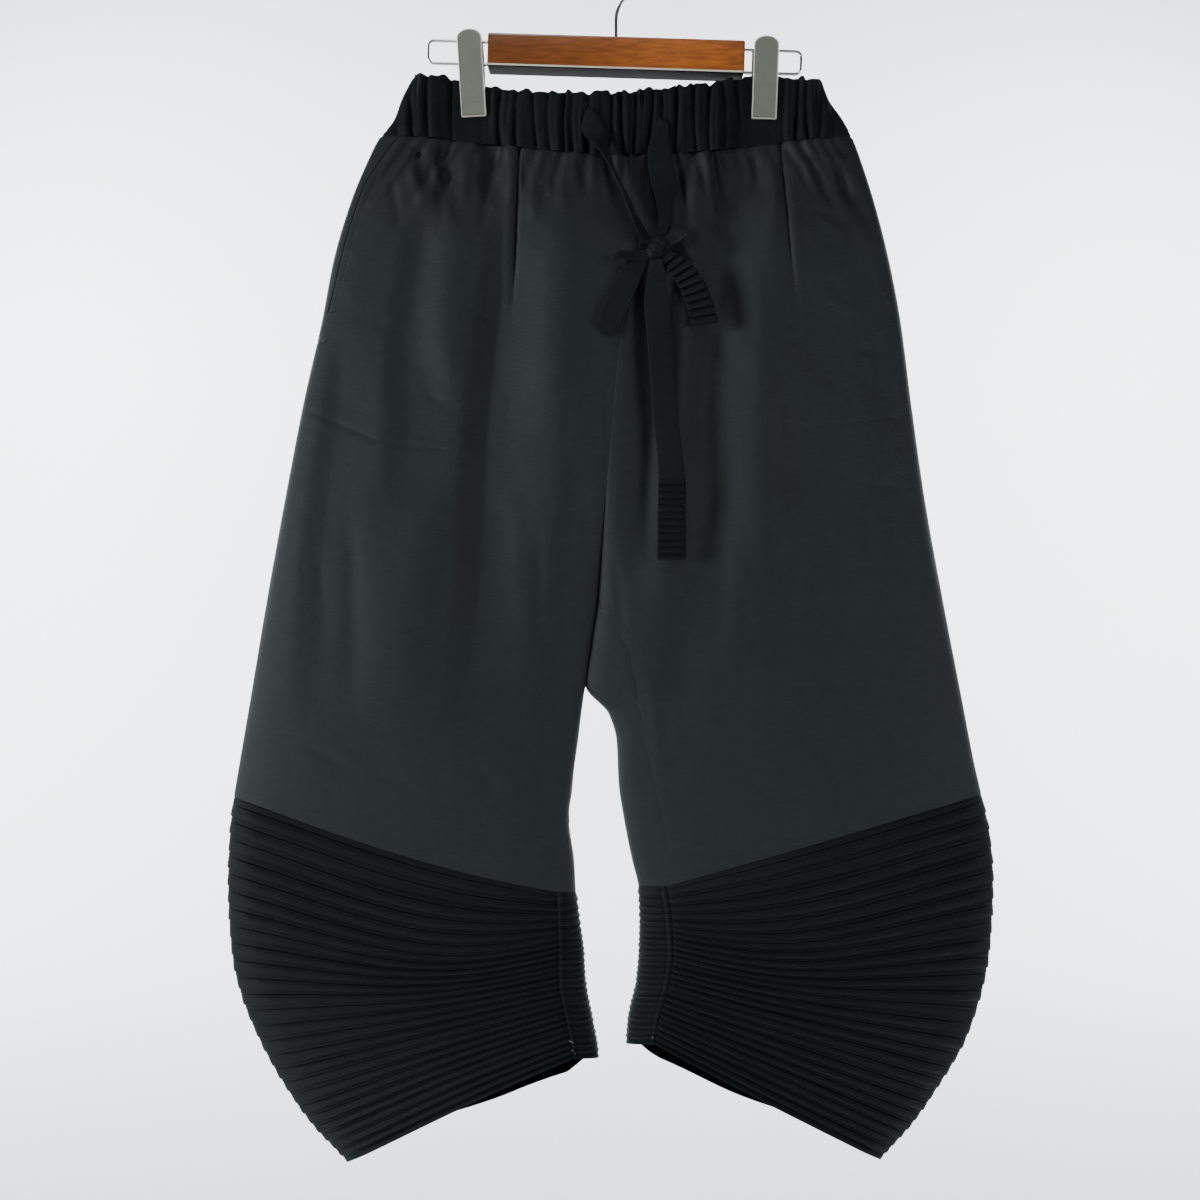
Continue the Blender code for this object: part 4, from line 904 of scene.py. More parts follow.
def panel_surface(leg, side, columns, rows_above=150, rows_below=92):
    """World points, outward directions, and plane x, z of a leg panel with all its folds."""
    v = np.concatenate([np.linspace(0, 1, rows_above), 1 + np.linspace(0, 1, rows_below)[1:]])
    s = panel_places(leg, side, v, columns)
    v_grid = np.broadcast_to(v[:, None], s.shape)
    x, z, y = body_place(leg, s, v_grid)
    plain = drawn(x, y, z)
    out = grid_normals(plain, -leg * side)
    a, face = round_place(s)
    shut = closing(z)
    edge = smooth(a / 0.1) * (1 - shut * (1 - smooth((1 - a) / 0.1)))
    rise = np.zeros_like(x)
    for one in (-1, 1):
        broad = fold_height(one, plain[..., 0] / MM, plain[..., 2] / MM)
        fine = gather_fall(leg, one, x, z, a) + crease_height(one, x, z) + lap_height(one, x, z)
        fine = fine + 0.45 * loose_noise(x, z, 0.7 if one < 0 else 2.9) + sewn_height(leg, one, x, z)
        rise = np.where(face == one, edge * (broad + fine), rise)
    rise = rise * smooth((2 - v_grid) / 0.10)
    if side < 0:
        rise, slide = tuck(leg, x, z, rise)
        plain = plain + slide[..., None] * np.array([MM, 0, 0])
    # seam edges roll in
    across = np.linalg.norm(np.diff(plain, axis=1), axis=-1)
    from_start = np.concatenate([np.zeros((len(v), 1)), np.cumsum(across, axis=1)], axis=1)
    pocket = 0.6 * smooth((z + 300) / 8) * (side < 0) * bump(from_start / 0.0012)
    inner = 0.3 * (1 - smooth(shut / 0.08)) * bump((from_start[:, -1:] - from_start) / 0.0012)
    rise = rise - pocket - inner - 0.8 * bump((waist_seam_z(leg, a) - z) * MM / 0.0018)
    points = plain + out * (rise * MM)[..., None]
    return points, grid_normals(points, -leg * side), x, z


def tuck(leg, x, z, rise):
    """The stitched waist tuck: a lip that laps over a narrow slit, open below its last stitch."""
    top, foot = TUCKS[leg]
    t = (-160 - z) / 140
    lasting = smooth(t * 12 + 0.4) * smooth((1.02 - t) / 0.5)
    off = (x - (top + (foot - top) * t)) * -leg
    slit, lip = bell((off - 1.6) / 1.7), bell((off + 3.4) / 3.4)
    behind = smooth(1 - (off - 2) / 14) * smooth((off + 1) / 3)
    deep = 1.0 if leg < 0 else 0.6
    rise = rise + lasting * deep * (1.5 * lip - 3.2 * slit - 0.8 * behind)
    return rise, lasting * 1.9 * bell((off + 0.6) / 1.8) * -leg


# ---- operators


class TROUSERS_OT_stage(bpy.types.Operator):
    """Sets the pale sweep, the soft lights and the camera."""

    bl_idname = "trousers.stage"
    bl_label = "Stage"

    def execute(self, context):
        camera = bpy.data.objects.new("Camera", bpy.data.cameras.new("Camera"))
        context.scene.collection.objects.link(camera)
        camera.data.sensor_width = SENSOR
        camera.data.lens = SENSOR * VIEW_DISTANCE / VIEW_WIDTH
        camera.data.clip_end = 50
        camera.location = [place * MM for place in (VIEW_CENTRE[0], -VIEW_DISTANCE, VIEW_CENTRE[1])]
        camera.rotation_euler = (math.radians(90), 0, 0)
        context.scene.camera = camera
        self.sweep()
        self.light("Key", (-4.0, -2.1, -0.2), (0.0, 0, -0.52), 1.2, 208)
        self.light("Fill", (2.6, -2.2, -0.5), (0, 0, -0.55), 1.4, 42)
        self.light("Top", (-0.3, -1.3, 1.5), (0, 0, -0.55), 0.5, 11)
        self.light("Paper left", (-1.7, 0.95, 0.3), (-0.2, 2.5, -0.5), 1.4, 130)
        self.light("Paper right", (1.7, 0.95, 0.3), (0.2, 2.5, -0.5), 1.4, 130)
        world = context.scene.world or bpy.data.worlds.new("Studio")
        context.scene.world = world
        world.use_nodes = True
        sky = world.node_tree.nodes["Background"].inputs
        sky["Color"].default_value = (0.95, 0.97, 1.0, 1.0)
        sky["Strength"].default_value = 0.11
        return {"FINISHED"}

    def sweep(self):
        back, floor, bend = 1.2, -1.12, 1.2
        profile = [(-6.0, floor), (back, floor), *arc(back, floor + bend, bend, -80, 1, 10), (back + bend, 5.0)]
        points = [(x, y, z) for y, z in profile for x in (-7.0, 7.0)]
        faces = [(2 * i, 2 * i + 1, 2 * i + 3, 2 * i + 2) for i in range(len(profile) - 1)]
        mesh = bpy.data.meshes.new("Sweep")
        mesh.from_pydata(points, [], faces)
        mesh.shade_smooth()
        finish = Finish("pale paper")
        tone = finish.ramp(finish.noise(3.0), (0, (0.88,) * 3), (1, (0.92,) * 3))
        mesh.materials.append(finish.made(Base_Color=tone, Roughness=0.9))
        sweep = bpy.data.objects.new("Sweep", mesh)
        bpy.context.scene.collection.objects.link(sweep)

    def light(self, name, place, target, size, power):
        lamp = bpy.data.lights.new(name, "AREA")
        lamp.shape = "SQUARE"
        lamp.size = size
        lamp.energy = power
        lamp.color = (0.90, 0.97, 1.0)
        made = bpy.data.objects.new(name, lamp)
        made.location = place
        made.rotation_euler = (Vector(target) - Vector(place)).to_track_quat("-Z", "Y").to_euler()
        bpy.context.scene.collection.objects.link(made)


class TROUSERS_OT_legs(bpy.types.Operator):
    """Makes the two fronts and two backs as thin shells with their folds."""

    bl_idname = "trousers.legs"
    bl_label = "Fronts and backs"

    def execute(self, context):
        choice = settings()
        for leg, word in LEGS:
            for side, part in ((-1, "front"), (1, "back")):
                points, out, x, z = panel_surface(leg, side, choice.front_columns if side < 0 else BACK_COLUMNS)
                inner, uv = points - out * choice.cloth_wall, np.stack([x, z], axis=-1) * MM
                cloth = black_cloth(f"black cloth, {word} {part}", 1.0 if side < 0 else 0.97, waist=SHADE_TOP)
                # The inner faces get a darker copy of the cloth: painted shade.
                inside_shade = black_cloth(f"cloth inside, {word} {part}", 0.35)
                cloth_piece(f"{word}_{part}", "cloth", points, inner, 4, False, uv, 75, cloth, inside_shade)
        return {"FINISHED"}


# phase down a pleat, height, shift of the line further down: the free edge laps over the next pleat
PLEAT_PROFILE = (
    (0.00, -0.40, 0.00), (0.08, -0.12, 0.00), (0.22, 0.16, 0.00), (0.38, 0.38, 0.00), (0.435, -0.06, 0.00),
    (0.49, 0.50, 0.00), (0.54, 0.62, 0.00), (0.60, 0.44, 0.00), (0.66, 0.66, 0.00), (0.84, 0.92, 0.00),
    (0.98, 1.00, 0.05), (1.00, 0.86, 0.09), (0.97, -0.30, -0.02),
)


class TROUSERS_OT_cuffs(bpy.types.Operator):
    """Makes the two pleated cuffs: 26 pressed pleats round each, with their free edges down."""

    bl_idname = "trousers.cuffs"
    bl_label = "Pleated cuffs"

    def execute(self, context):
        choice = settings()
        half = 0.1 * np.linspace(0, 1, 86) + 0.9 * ((1 - np.cos(np.linspace(0, math.pi, 86))) / 2)
        fine = CUFF_SEAM + np.arange(-3.0, 5.6, 0.55) / CUFF_WIDTH
        front = np.concatenate([half[half < fine[0]], fine, half[half > fine[-1]]])
        s = np.concatenate([front, 2 - half[::-1][1:-1]])
        s = np.where(s > 1, s - 2, s)
        rows = [
            (min(pleat + phase + shift, PLEATS + 0.02), height, pleat + phase)
            for pleat in range(PLEATS) for phase, height, shift in PLEAT_PROFILE
        ]
        pleats, heights, phases = np.array(rows).T
        for leg, word in LEGS:
            s_grid, pleat_grid = np.meshgrid(s, pleats)
            seam_at = cuff_seam(leg, pleat_grid)
            s_grid = toward_seam(s_grid, seam_at)
            plain = cuff_point(leg, s_grid, pleat_grid)
            out = self.outward(leg, s_grid, pleat_grid)
            a = round_place(s_grid)[0]
            depth = choice.pleat_depth_inner + (choice.pleat_depth - choice.pleat_depth_inner) * (1 - a) ** 0.7
            depth = depth * (0.35 + 0.65 * smooth(a / 0.09)) * self.unevenness(s_grid, np.floor(phases)[:, None])
            off = np.where(s_grid >= 0, (a - seam_at) * CUFF_WIDTH, -999.0)
            depth = depth * (1 - 0.30 * smooth((off + 1.5) / 3.5))
            seam = -0.0011 * bell(off / 0.8) + 0.0006 * bell((off - 1.9) / 1.0)
            seam = seam - 0.0005 * bell((off - 3.9) / 0.7) - 0.0003 * bell((off + 1.8) / 0.6)
            points = plain + out * (depth * heights[:, None] + seam)[..., None]
            uv = np.stack(np.broadcast_arrays(plain[..., 0], phases[:, None] * 0.0125), axis=-1)
            # The cuffs' cloth at half lightness, its specular and sheen lowered with it: painted shade for the pleats'
            # fine shadows.
            cloth = black_cloth(f"black cloth, {word} cuff", 0.50)
            # The cuff's inner faces get a near black copy of the cloth: painted shade.
            inside_shade = black_cloth(f"cloth inside, {word} cuff", 0.05)
            inner, step = plain - out * choice.cloth_wall, 2 * len(PLEAT_PROFILE)
            cloth_piece(f"{word}_cuff", "pleats", points, inner, step, True, uv, 50, cloth, inside_shade)
        return {"FINISHED"}

    def outward(self, leg, s, pleat):
        along = cuff_point(leg, s + 0.002, pleat) - cuff_point(leg, s - 0.002, pleat)
        down = cuff_point(leg, s, np.minimum(pleat + 0.3, PLEATS)) - cuff_point(leg, s, np.maximum(pleat - 0.3, 0))
        return unit(along, down, leg)

    def unevenness(self, s, pleat):
        return 1 + 0.16 * np.sin(pleat * 2.4 + 5 * s) + 0.10 * np.sin(pleat * 5.1 - 3 * s + 1)


class TROUSERS_OT_waistband(bpy.types.Operator):
    """Makes the gathered casing round the waist."""

    bl_idname = "trousers.waistband"
    bl_label = "Waistband"

    def execute(self, context):
        count, rows = 1080, 28
        t = np.linspace(0, 4, count, endpoint=False)
        quarter = np.floor(t).astype(int)
        share = t - quarter
        share = 0.15 * share + 0.85 * (1 - np.cos(math.pi * share)) / 2
        a = np.where(quarter % 2 == 0, share, 1 - share)[None, :]
        legs = np.where((quarter == 0) | (quarter == 3), -1, 1)[None, :]
        side = np.where(quarter < 2, -1, 1)[None, :]
        v = np.linspace(0, 1, rows)[:, None]
        points, plane_x = np.zeros((rows, count, 3)), np.zeros((rows, count))
        for leg, _ in LEGS:
            x, z, y = self.place(leg, a, v, side)
            points = np.where((legs == leg)[..., None], drawn(x, y, z), points)
            plane_x = np.where(legs == leg, x, plane_x)
        out = grid_normals(points, -1, True)
        rise = self.gathers(plane_x, side, v) * smooth(a / 0.06)
        roll = -1.6 * bump(v / 0.06) - 0.9 * bump((1 - v) / 0.05)
        stitch = -0.55 * bump((v - 0.93) / 0.035)
        held = 1 - smooth((19 - clip_distance(plane_x)) / 6)
        points = points + out * ((rise + (roll + stitch) * (0.4 + 0.6 * held)) * MM)[..., None]
        frill = 1.0 * np.sin(plane_x / 3.1 + 1.3 * np.sin(plane_x / 8.3)) + 0.7 * np.sin(plane_x / 1.7 + side)
        points[..., 2] += frill * held * bump(v / 0.16) * MM
        inner = points - grid_normals(points, -1, True) * 2.0 * MM
        uv = np.stack([plane_x * 1.5, -45 * np.broadcast_to(v, plane_x.shape)], axis=-1) * MM
        # The casing's cloth at 0.42 lightness, its specular and sheen lowered with it: painted shade over the gathered
        # band.
        cloth = black_cloth("black cloth, casing", 0.42)
        cloth_piece("waistband", "casing", points, inner, 2, True, uv, 70, cloth)
        return {"FINISHED"}

    def place(self, leg, a, v, side):
        waist = across_leg(leg, a, WAIST_Z)
        top, low = read(WAIST_TOP, waist, 1), waist_seam_z(leg, a)
        top = top + np.where(side > 0, 2.0 * smooth((waist - 10) / 25) * smooth((105 - waist) / 25), 0)
        z = top + (low - top) * v
        x = across_leg(leg, a, z)
        return x, z, side * half_depth(a, x, z)

    def gathers(self, x, side, v):
        rise = np.zeros_like(x)
        for one, table in GATHERS.items():
            middles, depths = np.array(table, float).T[:2, :, None, None]
            off = x[None] - (middles + 1.3 * np.sin(3.0 * v + middles))
            narrow = 1.0 + 0.5 * np.cos(middles) ** 2
            reach = 0.55 + 0.45 * np.sin(5 * v + 2.1 * middles)
            valleys = (depths * (0.55 + 0.45 * reach) * bell(off / narrow)).sum(0)
            order = np.argmin(np.abs(off), axis=0)
            near = np.take_along_axis(np.abs(off), order[None], axis=0)[0]
            puff = 1.7 * (1 - bell(near / 2.6))
            form = puff * (0.75 + 0.5 * np.sin(middles[order, 0, 0] * 1.7 + 2.2 * v)) - 1.5 * valleys
            form = form + 0.45 * np.sin(x / 5.3 + 5 * v) * np.sin(7 * v + x / 17)
            rise = np.where(side == one, form, rise)
        return rise * (1 - 0.9 * smooth((19 - clip_distance(x)) / 7))


class TROUSERS_OT_pocket_bags(bpy.types.Operator):
    """Makes the two pocket bags that hang inside the fronts."""

    bl_idname = "trousers.pocket_bags"
    bl_label = "Pocket bags"

    def execute(self, context):
        part = slice(4, 44), slice(9, 48)
        for leg, word in LEGS:
            points, out = panel_surface(leg, -1, 90, 60, 12)[:2]
            outer = (points - out * (settings().cloth_wall + 0.0005))[part]
            uv = np.stack(np.meshgrid(np.arange(39) * 0.0036, np.arange(40) * 0.006), axis=-1)
            cloth = black_cloth(f"pocketing, {word}", 0.8, rib=0.7)
            cloth_piece(f"{word}_pocket_bag", "cloth", outer, outer - out[part] * 0.0008, 3, False, uv, 75, cloth)
        return {"FINISHED"}


# ---- strips and tubes


def between(stations, count):
    """Stations of a strip spaced evenly along it, on a smooth curve through the given ones."""
    given = np.array(stations, float)
    steps = np.hypot(np.diff(given[:, 0]), np.diff(given[:, 1]))
    along = np.concatenate([[0], np.cumsum(steps)])
    slopes = np.gradient(given, along, axis=0)
    here = np.linspace(0, along[-1], count)
    i = np.clip(np.searchsorted(along, here, side="right") - 1, 0, len(along) - 2)
    length = (along[i + 1] - along[i])[:, None]
    t = (here - along[i])[:, None] / length
    curve = (2 * t**3 - 3 * t**2 + 1) * given[i] + (3 * t**2 - 2 * t**3) * given[i + 1]
    curve += length * ((t**3 - 2 * t**2 + t) * slopes[i] + (t**3 - t**2) * slopes[i + 1])
    return curve, here


def front_y(x, z):
    leg = -1 if x < read(CENTRE_SEAM, z, 1) else 1
    a = float(np.clip((x - outer_x(leg, z)) / (inner_x(leg, z) - outer_x(leg, z)), 0.001, 0.93))
    broad = float(fold_height(-1, np.array(x), np.array(z)))
    return -float(half_depth(a, x, z)) - max(broad, 0.0)


# phase down one pleat of a tie's end, height
END_PROFILE = ((0.0, 0.0), (0.25, 0.22), (0.55, 0.55), (0.82, 0.92), (0.93, 1.0), (0.97, 0.8), (0.93, 0.25))
# place across a strip, from edge to edge, and its share of the wall there: a row of sewing runs near each edge
STRIP_EDGE = ((-1.0, 0.35), (-0.965, 0.85), (-0.86, 0.80), (-0.80, 1.0), (-0.5, 1.0), (-0.17, 1.0))
STRIP_SECTION = (*STRIP_EDGE, *((-u, share) for u, share in reversed(STRIP_EDGE)))


def strip_rows(stations, pleats):
    """(share along the strip, height of the row)."""
    if not pleats:
        given = np.array(stations, float)
        length = np.hypot(np.diff(given[:, 0]), np.diff(given[:, 1])).sum()
        return [(share, None) for share in np.linspace(0, 1, max(int(length / 1.5), 12))]
    return [((n + phase) / pleats, height) for n in range(pleats) for phase, height in END_PROFILE] + [(1.0, 0.0)]


def strip_part(stations, pleats=0, ripple=0.3, phase=0.0):
    """Points, faces and cloth places of a flat double strip that lies in front of the cloth."""
    rows = strip_rows(stations, pleats)
    curve, here = between(stations, 400)
    wall = 0.7 if pleats else 0.6
    points, uv = [], []
    for number, (share, height) in enumerate(rows):
        down = share * here[-1]
        x, z, clear, half, angle, turn = [float(np.interp(down, here, curve[:, k])) for k in range(6)]
        angle, turn = math.radians(angle), math.radians(turn)
        y = front_y(x, z) - clear - half * abs(math.sin(turn))
        width = Vector((math.cos(angle) * math.cos(turn), math.sin(turn), math.sin(angle) * math.cos(turn)))
        out = width.cross(Vector((-math.sin(angle), 0, math.cos(angle)))).normalized()
        if out.y > 0:
            out.negate()
        middle = Vector(drawn(np.array(x), np.array(y), np.array(z)))
        for face in (1, -1):
            for u, part in STRIP_SECTION[::face]:
                lift = ripple * math.sin(down / 4.1 + 2.2 * u + phase) * math.sin(down / 9.7 + phase)
                lift += 0.25 * ripple * math.sin(down / 1.9 + 3 * u)
                if height is not None:
                    lift = 2.6 * height * (0.9 + 0.1 * math.sin(3 * u + number))
                points.append(middle + width * (u * half * MM) + out * ((lift + face * wall * part) * MM))
                uv.append((u * half * MM, down * MM))
    columns = 2 * len(STRIP_SECTION)
    return points, grid_faces(len(rows), columns) + end_caps(len(points), columns), uv


def tube_part(route, radii, sides=8):
    """Points and faces of a round tube along a route."""
    route = [Vector(p) for p in route]
    points, guide = [], None
    for number, place in enumerate(route):
        before, after = route[max(number - 1, 0)], route[min(number + 1, len(route) - 1)]
        along = (after - before).normalized()
        if guide is None:
            guide = along.orthogonal().normalized()
        guide = (guide - along * guide.dot(along)).normalized()
        other = along.cross(guide)
        radius = radii[number] if hasattr(radii, "__len__") else radii
        for k in range(sides):
            turn = 2 * math.pi * k / sides
            points.append(place + (guide * math.cos(turn) + other * math.sin(turn)) * radius)
    return points, grid_faces(len(route), sides) + end_caps(len(points), sides)


class TROUSERS_OT_tie(bpy.types.Operator):
    """Makes the flat tie: two strands, a half bow, its long tail and the two pleated ends."""

    bl_idname = "trousers.tie"
    bl_label = "Tie"

    def execute(self, context):
        for number, (node, stations) in enumerate(STRIPS.items()):
            points, faces, uv = strip_part(stations, END_PLEATS.get(node, 0), 0.35, 1.7 * number)
            if node == "tie_right_loop":
                some, sides, places = strip_part(LOOP_BACK, 0, 0.3, 0.4)
                faces += [[n + len(points) for n in side] for side in sides]
                points, uv = points + some, uv + places
            cloth = black_cloth(f"black tape, {node}", 0.55, turn=math.pi / 2)
            mesh_piece(f"{node}_tape", points, faces, cloth, node, uv, 50)
        self.knot()
        return {"FINISHED"}

    def knot(self):
        """Four slanting turns of the tape round a soft core."""
        x, z = KNOT_CENTRE
        middle = Vector(drawn(np.array(x), np.array(front_y(x, z) - 6.5), np.array(z)))
        lean = turned(KNOT_LEAN)
        points, uv = [], []
        rows, sides = 56, 44
        for i in range(rows + 1):
            v = i / rows
            height = -math.cos(math.pi * v)
            ring = math.sin(math.pi * v) ** 0.62
            for k in range(sides):
                turn = 2 * math.pi * k / sides
                wraps = 4.2 * v + 0.22 * math.sin(turn + 0.6) + 0.06 * math.sin(3 * turn)
                groove = 1 - 0.17 * bump((wraps % 1.0 - 0.5) / 0.13 if 0.04 < v < 0.96 else 1.0)
                fold = 1 + 0.04 * math.sin(5 * turn + 9 * v)
                px = KNOT_RADII[0] * ring * groove * fold * math.cos(turn)
                py = KNOT_RADII[1] * ring * groove * fold * math.sin(turn)
                points.append(middle + (lean @ Vector((px, py, KNOT_RADII[2] * height))) * MM)
                uv.append((turn * 6 * MM, v * 20 * MM))
        cloth = black_cloth("black tape, knot", 0.55, turn=math.pi / 2)
        knot = mesh_piece("tie_knot_wraps", points, grid_faces(rows + 1, sides), cloth, "tie_knot", uv, 60)
        shape = bmesh.new()
        shape.from_mesh(knot.data)
        bmesh.ops.remove_doubles(shape, verts=shape.verts, dist=1e-6)
        shape.to_mesh(knot.data)
        shape.free()


# ---- sewing


def tree_of(node):
    """A search tree of a node's cloth, for laying sewing on it."""
    word = {"waistband": "casing", "right_cuff": "pleats", "left_cuff": "pleats"}.get(node, "cloth")
    mesh = bpy.data.objects[f"{node}_{word}"].data
    return BVHTree.FromPolygons([v.co for v in mesh.vertices], [tuple(p.vertices) for p in mesh.polygons])


def seen_on(tree, side, x, z):
    """Place and direction out of the cloth where the line of sight through (x, z) meets it, or None."""
    eye = mm(VIEW_CENTRE[0], side * VIEW_DISTANCE, VIEW_CENTRE[1])
    place, normal = tree.ray_cast(eye, (mm(x, 0, z) - eye).normalized())[:2]
    if place is None:
        return None
    return place, -normal if normal.y * side < 0 else normal


def along_line(points, spacing):
    """Places evenly spaced along straight stretches between points."""
    points = np.array(points, float)
    along = np.concatenate([[0], np.cumsum(np.linalg.norm(np.diff(points, axis=0), axis=1))])
    here = np.linspace(0, along[-1], max(int(along[-1] / spacing), 1) + 1)
    return np.stack([np.interp(here, along, column) for column in points.T], axis=-1)


class TROUSERS_OT_sewing(bpy.types.Operator):
    """Sews the rows of stitches, the buttonholes and the loose thread ends onto the cloth."""

    bl_idname = "trousers.sewing"
    bl_label = "Sewing"

    def execute(self, context):
        trees = {node: tree_of(node) for node in {"waistband", *(row[0] for row in SEWING)}}
        black = sewing_thread("black thread", (0.008, 0.010, 0.011))
        for node, word, side, second, line in SEWING:
            parts = self.row(trees[node], side, line)
            if second:
                parts += self.row(trees[node], side, [(x + second, z) for x, z in line])
            if not parts:
                raise RuntimeError(f"no stitches met the cloth: {node} {word}")
            joined(f"{node}_{word}_stitches", parts, black, node)
        self.buttonholes(trees["waistband"], black)
        white = sewing_thread("white thread", (0.38, 0.38, 0.35))
        for number, (node, x, z, length, lean) in enumerate(THREAD_ENDS):
            found = seen_on(trees[node], -1, x, z)
            if found is None:
                raise RuntimeError(f"a thread end met no cloth: {node}")
            place, out = found
            t = math.radians(lean)
            tip = place + Vector((math.sin(t), 0, -math.cos(t))) * length * MM + out * 0.0006
            middle = (place + tip) / 2 + out * 0.0007
            route = [place, place.lerp(middle, 0.6) + out * 0.0003, middle, tip]
            joined(f"{node}_thread_end_{number + 1}", [tube_part(route, 0.00015, 5)], white, node)
        return {"FINISHED"}

    def row(self, tree, side, line):
        """Stitches along a line: each rises from the cloth and dives back into it."""
        choice, parts = settings(), []
        radius = choice.thread / 2
        places = along_line(line, choice.stitch_length / MM)
        for start, end in zip(places, places[1:]):
            ends = [seen_on(tree, side, *(start + (end - start) * t)) for t in (0.08, 0.42, 0.78)]
            if None in ends:
                continue
            route = [place + out * radius * up for (place, out), up in zip(ends, (-0.3, 0.55, -0.3))]
            if (route[2] - route[0]).length <= 2.2 * choice.stitch_length:
                parts.append(tube_part(route, (radius * 0.6, radius, radius * 0.6), 5))
        return parts

    def buttonholes(self, tree, thread):
        """Two worked slits in the casing: a row of stitches along each side."""
        for number, (x0, z0, x1, z1) in enumerate(BUTTONHOLES):
            parts = []
            lean = math.atan2(x1 - x0, z0 - z1)
            across = Vector((math.cos(lean), 0, math.sin(lean)))
            count = int(math.hypot(x1 - x0, z1 - z0) / 0.55)
            for row in (-1, 1):
                near, far = across * row * 0.00025, across * row * 0.00135
                for k in range(count + 1):
                    found = seen_on(tree, -1, x0 + (x1 - x0) * (k / count), z0 + (z1 - z0) * (k / count))
                    if found is None:
                        continue
                    place, out = found
                    route = [place + near + out * 0.0001, place + (near + far) / 2 + out * 0.0004, place + far]
                    parts.append(tube_part(route, 0.00022, 5))
            joined(f"waistband_buttonhole_{number + 1}", parts, thread, "waistband")


# ---- hanger


def turned(degrees):
    return Matrix.Rotation(math.radians(degrees), 4, "Y")


class TROUSERS_OT_hanger(bpy.types.Operator):
    """Makes the wooden bar, the wire loops, the hook and the two spring clips."""

    bl_idname = "trousers.hanger"
    bl_label = "Clip hanger"

    def execute(self, context):
        self.lean = Matrix.Translation(mm(BAR_CENTRE[0], 0, BAR_CENTRE[1])) @ turned(BAR_TILT)
        chrome = metal("bright wire", (0.62, 0.62, 0.61), 0.16, (60, 60, 400), 0.05)
        self.bar()
        self.hook(chrome)
        satin = metal("satin clip plate", settings().nickel, 0.62, (420, 420, 420), 0.35)
        # The rims: polished, with a pale cream colour as painted highlight.
        rim = metal("polished clip edge", (0.62, 0.60, 0.50), 0.35, (300, 300, 300), 0.05, 0.45)
        dull = metal("spring steel", (0.20, 0.20, 0.20), 0.35, (200, 200, 200), 0.1)
        for side in ("right", "left"):
            self.wire_loop(side, chrome)
            self.clip(side, satin, rim)
            self.slide(side, dull)
        return {"FINISHED"}

    def bar(self):
        """A rounded wooden bar whose downward faces are near black as painted shade, with a pale painted highlight
        along its lower front edge.
        """
        length, depth, height = BAR
        radius = 2.0
        ring = []
        for cy, cz, first in ((1, 1, 0), (-1, 1, 90), (-1, -1, 180), (1, -1, 270)):
            ring += arc(cy * (depth / 2 - radius), cz * (height / 2 - radius), radius, first, first + 91, 18)
        stations = [(0.0, 0.93), (0.5, 0.975), (1.3, 0.997), (2.4, 1.0)]
        lengths = [(-length / 2 + s, k) for s, k in stations] + [(x, 1.0) for x in np.linspace(-90, 90, 31)]
        lengths += [(length / 2 - s, k) for s, k in reversed(stations)]
        points = [self.lean @ mm(x, y * k, z * k) for x, k in lengths for y, z in ring]
        faces = grid_faces(len(lengths), len(ring)) + end_caps(len(points), len(ring))
        piece = mesh_piece("hanger_bar_wood", points, faces, varnished_wood(), "hanger_bar", None, 35)
        # Near black on the downward faces: painted shade.
        piece.data.materials.append(painted_shade_black())
        # A pale colour on the rounded lower front edge: painted highlight.
        piece.data.materials.append(metal("worn edge", (0.60, 0.52, 0.42), 0.5, (200, 900, 900), 0.1, 0.0))
        up = (self.lean.to_3x3() @ Vector((0, 0, 1))).normalized()
        # Downward faces get the painted shade; the rounded faces between the front and the underside get the painted
        # highlight.
        for face in piece.data.polygons:
            if face.normal.dot(up) < -0.8 and abs(face.normal.x) < 0.5:
                face.material_index = 1
            elif -0.8 <= face.normal.dot(up) < -0.45 and face.normal.y < 0 and abs(face.normal.x) < 0.5:
                face.material_index = 2

    def wire_loop(self, side, chrome):
        sign = -1 if side == "right" else 1
        start, half, corner = BAR[0] / 2 - 6.0, LOOP_HALF_HEIGHT, 4.6
        reach = BAR[0] / 2 + 0.3 + LOOP_REACH[side]
        route = [(start, half), (reach - corner, half), *arc(reach - corner, half - corner, corner, 78, -1, -13)]
        route += [(x, -z) for x, z in reversed(route)]
        route = [self.lean @ mm(sign * x, 0, z) for x, z in route]
        node = f"hanger_{side}_wire"
        joined(f"{node}_loop", [tube_part(route, 1.2 * MM, 14)], chrome, node, replaces=True)

    def hook(self, chrome):
        """The wire hook, thinner at its tip, and its collar on the bar."""
        wire = HOOK_WIRE / 2
        route = [(-0.8, -84.0), (-0.8, -76), (-0.8, -66), (-0.4, -62), (0.6, -58.6), (3.4, -53)]
        route = [mm(x, 0, z) for x, z in route + arc(0, -HOOK_RADIUS, HOOK_RADIUS + wire, -52, 201, 6)]
        parts = [tube_part(route, [wire * MM] * (len(route) - 1) + [wire * 0.7 * MM], 16)]
        collar = [mm(-0.8, 0, z) for z in (-83.2, -82.0, -81.6, -80.6, -80.2, -79.4)]
        parts.append(tube_part(collar, [size * MM for size in (4.6, 4.6, 3.9, 3.9, 3.0, 2.0)], 24))
        joined("hanger_hook_wire", parts, chrome, "hanger_hook", 40, True)

    def clip(self, side, satin, rim):
        """Two sprung plates with polished rims, paler than the plates as painted highlight."""
        x, z, height, lean = CLIPS[side]
        spread = math.radians(CLIP_SPREAD)
        middle_y = JAW_Y + CLIP_PLATE / 2 + height / 2 * math.sin(spread)
        for face, word in ((-1, "front"), (1, "back")):
            upright = Matrix.Rotation(math.radians(90) - face * spread, 4, "X")
            place = Matrix.Translation(mm(x, face * middle_y, z)) @ turned(lean).inverted() @ upright
            points, faces, kinds = self.plate(height, -face)
            node = f"{side}_clip_{word}"
            piece = mesh_piece(f"{node}_plate", [place @ (p * MM) for p in points], faces, satin, node, None, 40)
            piece.data.materials.append(rim)
            for polygon, kind in zip(piece.data.polygons, kinds):
                polygon.material_index = kind

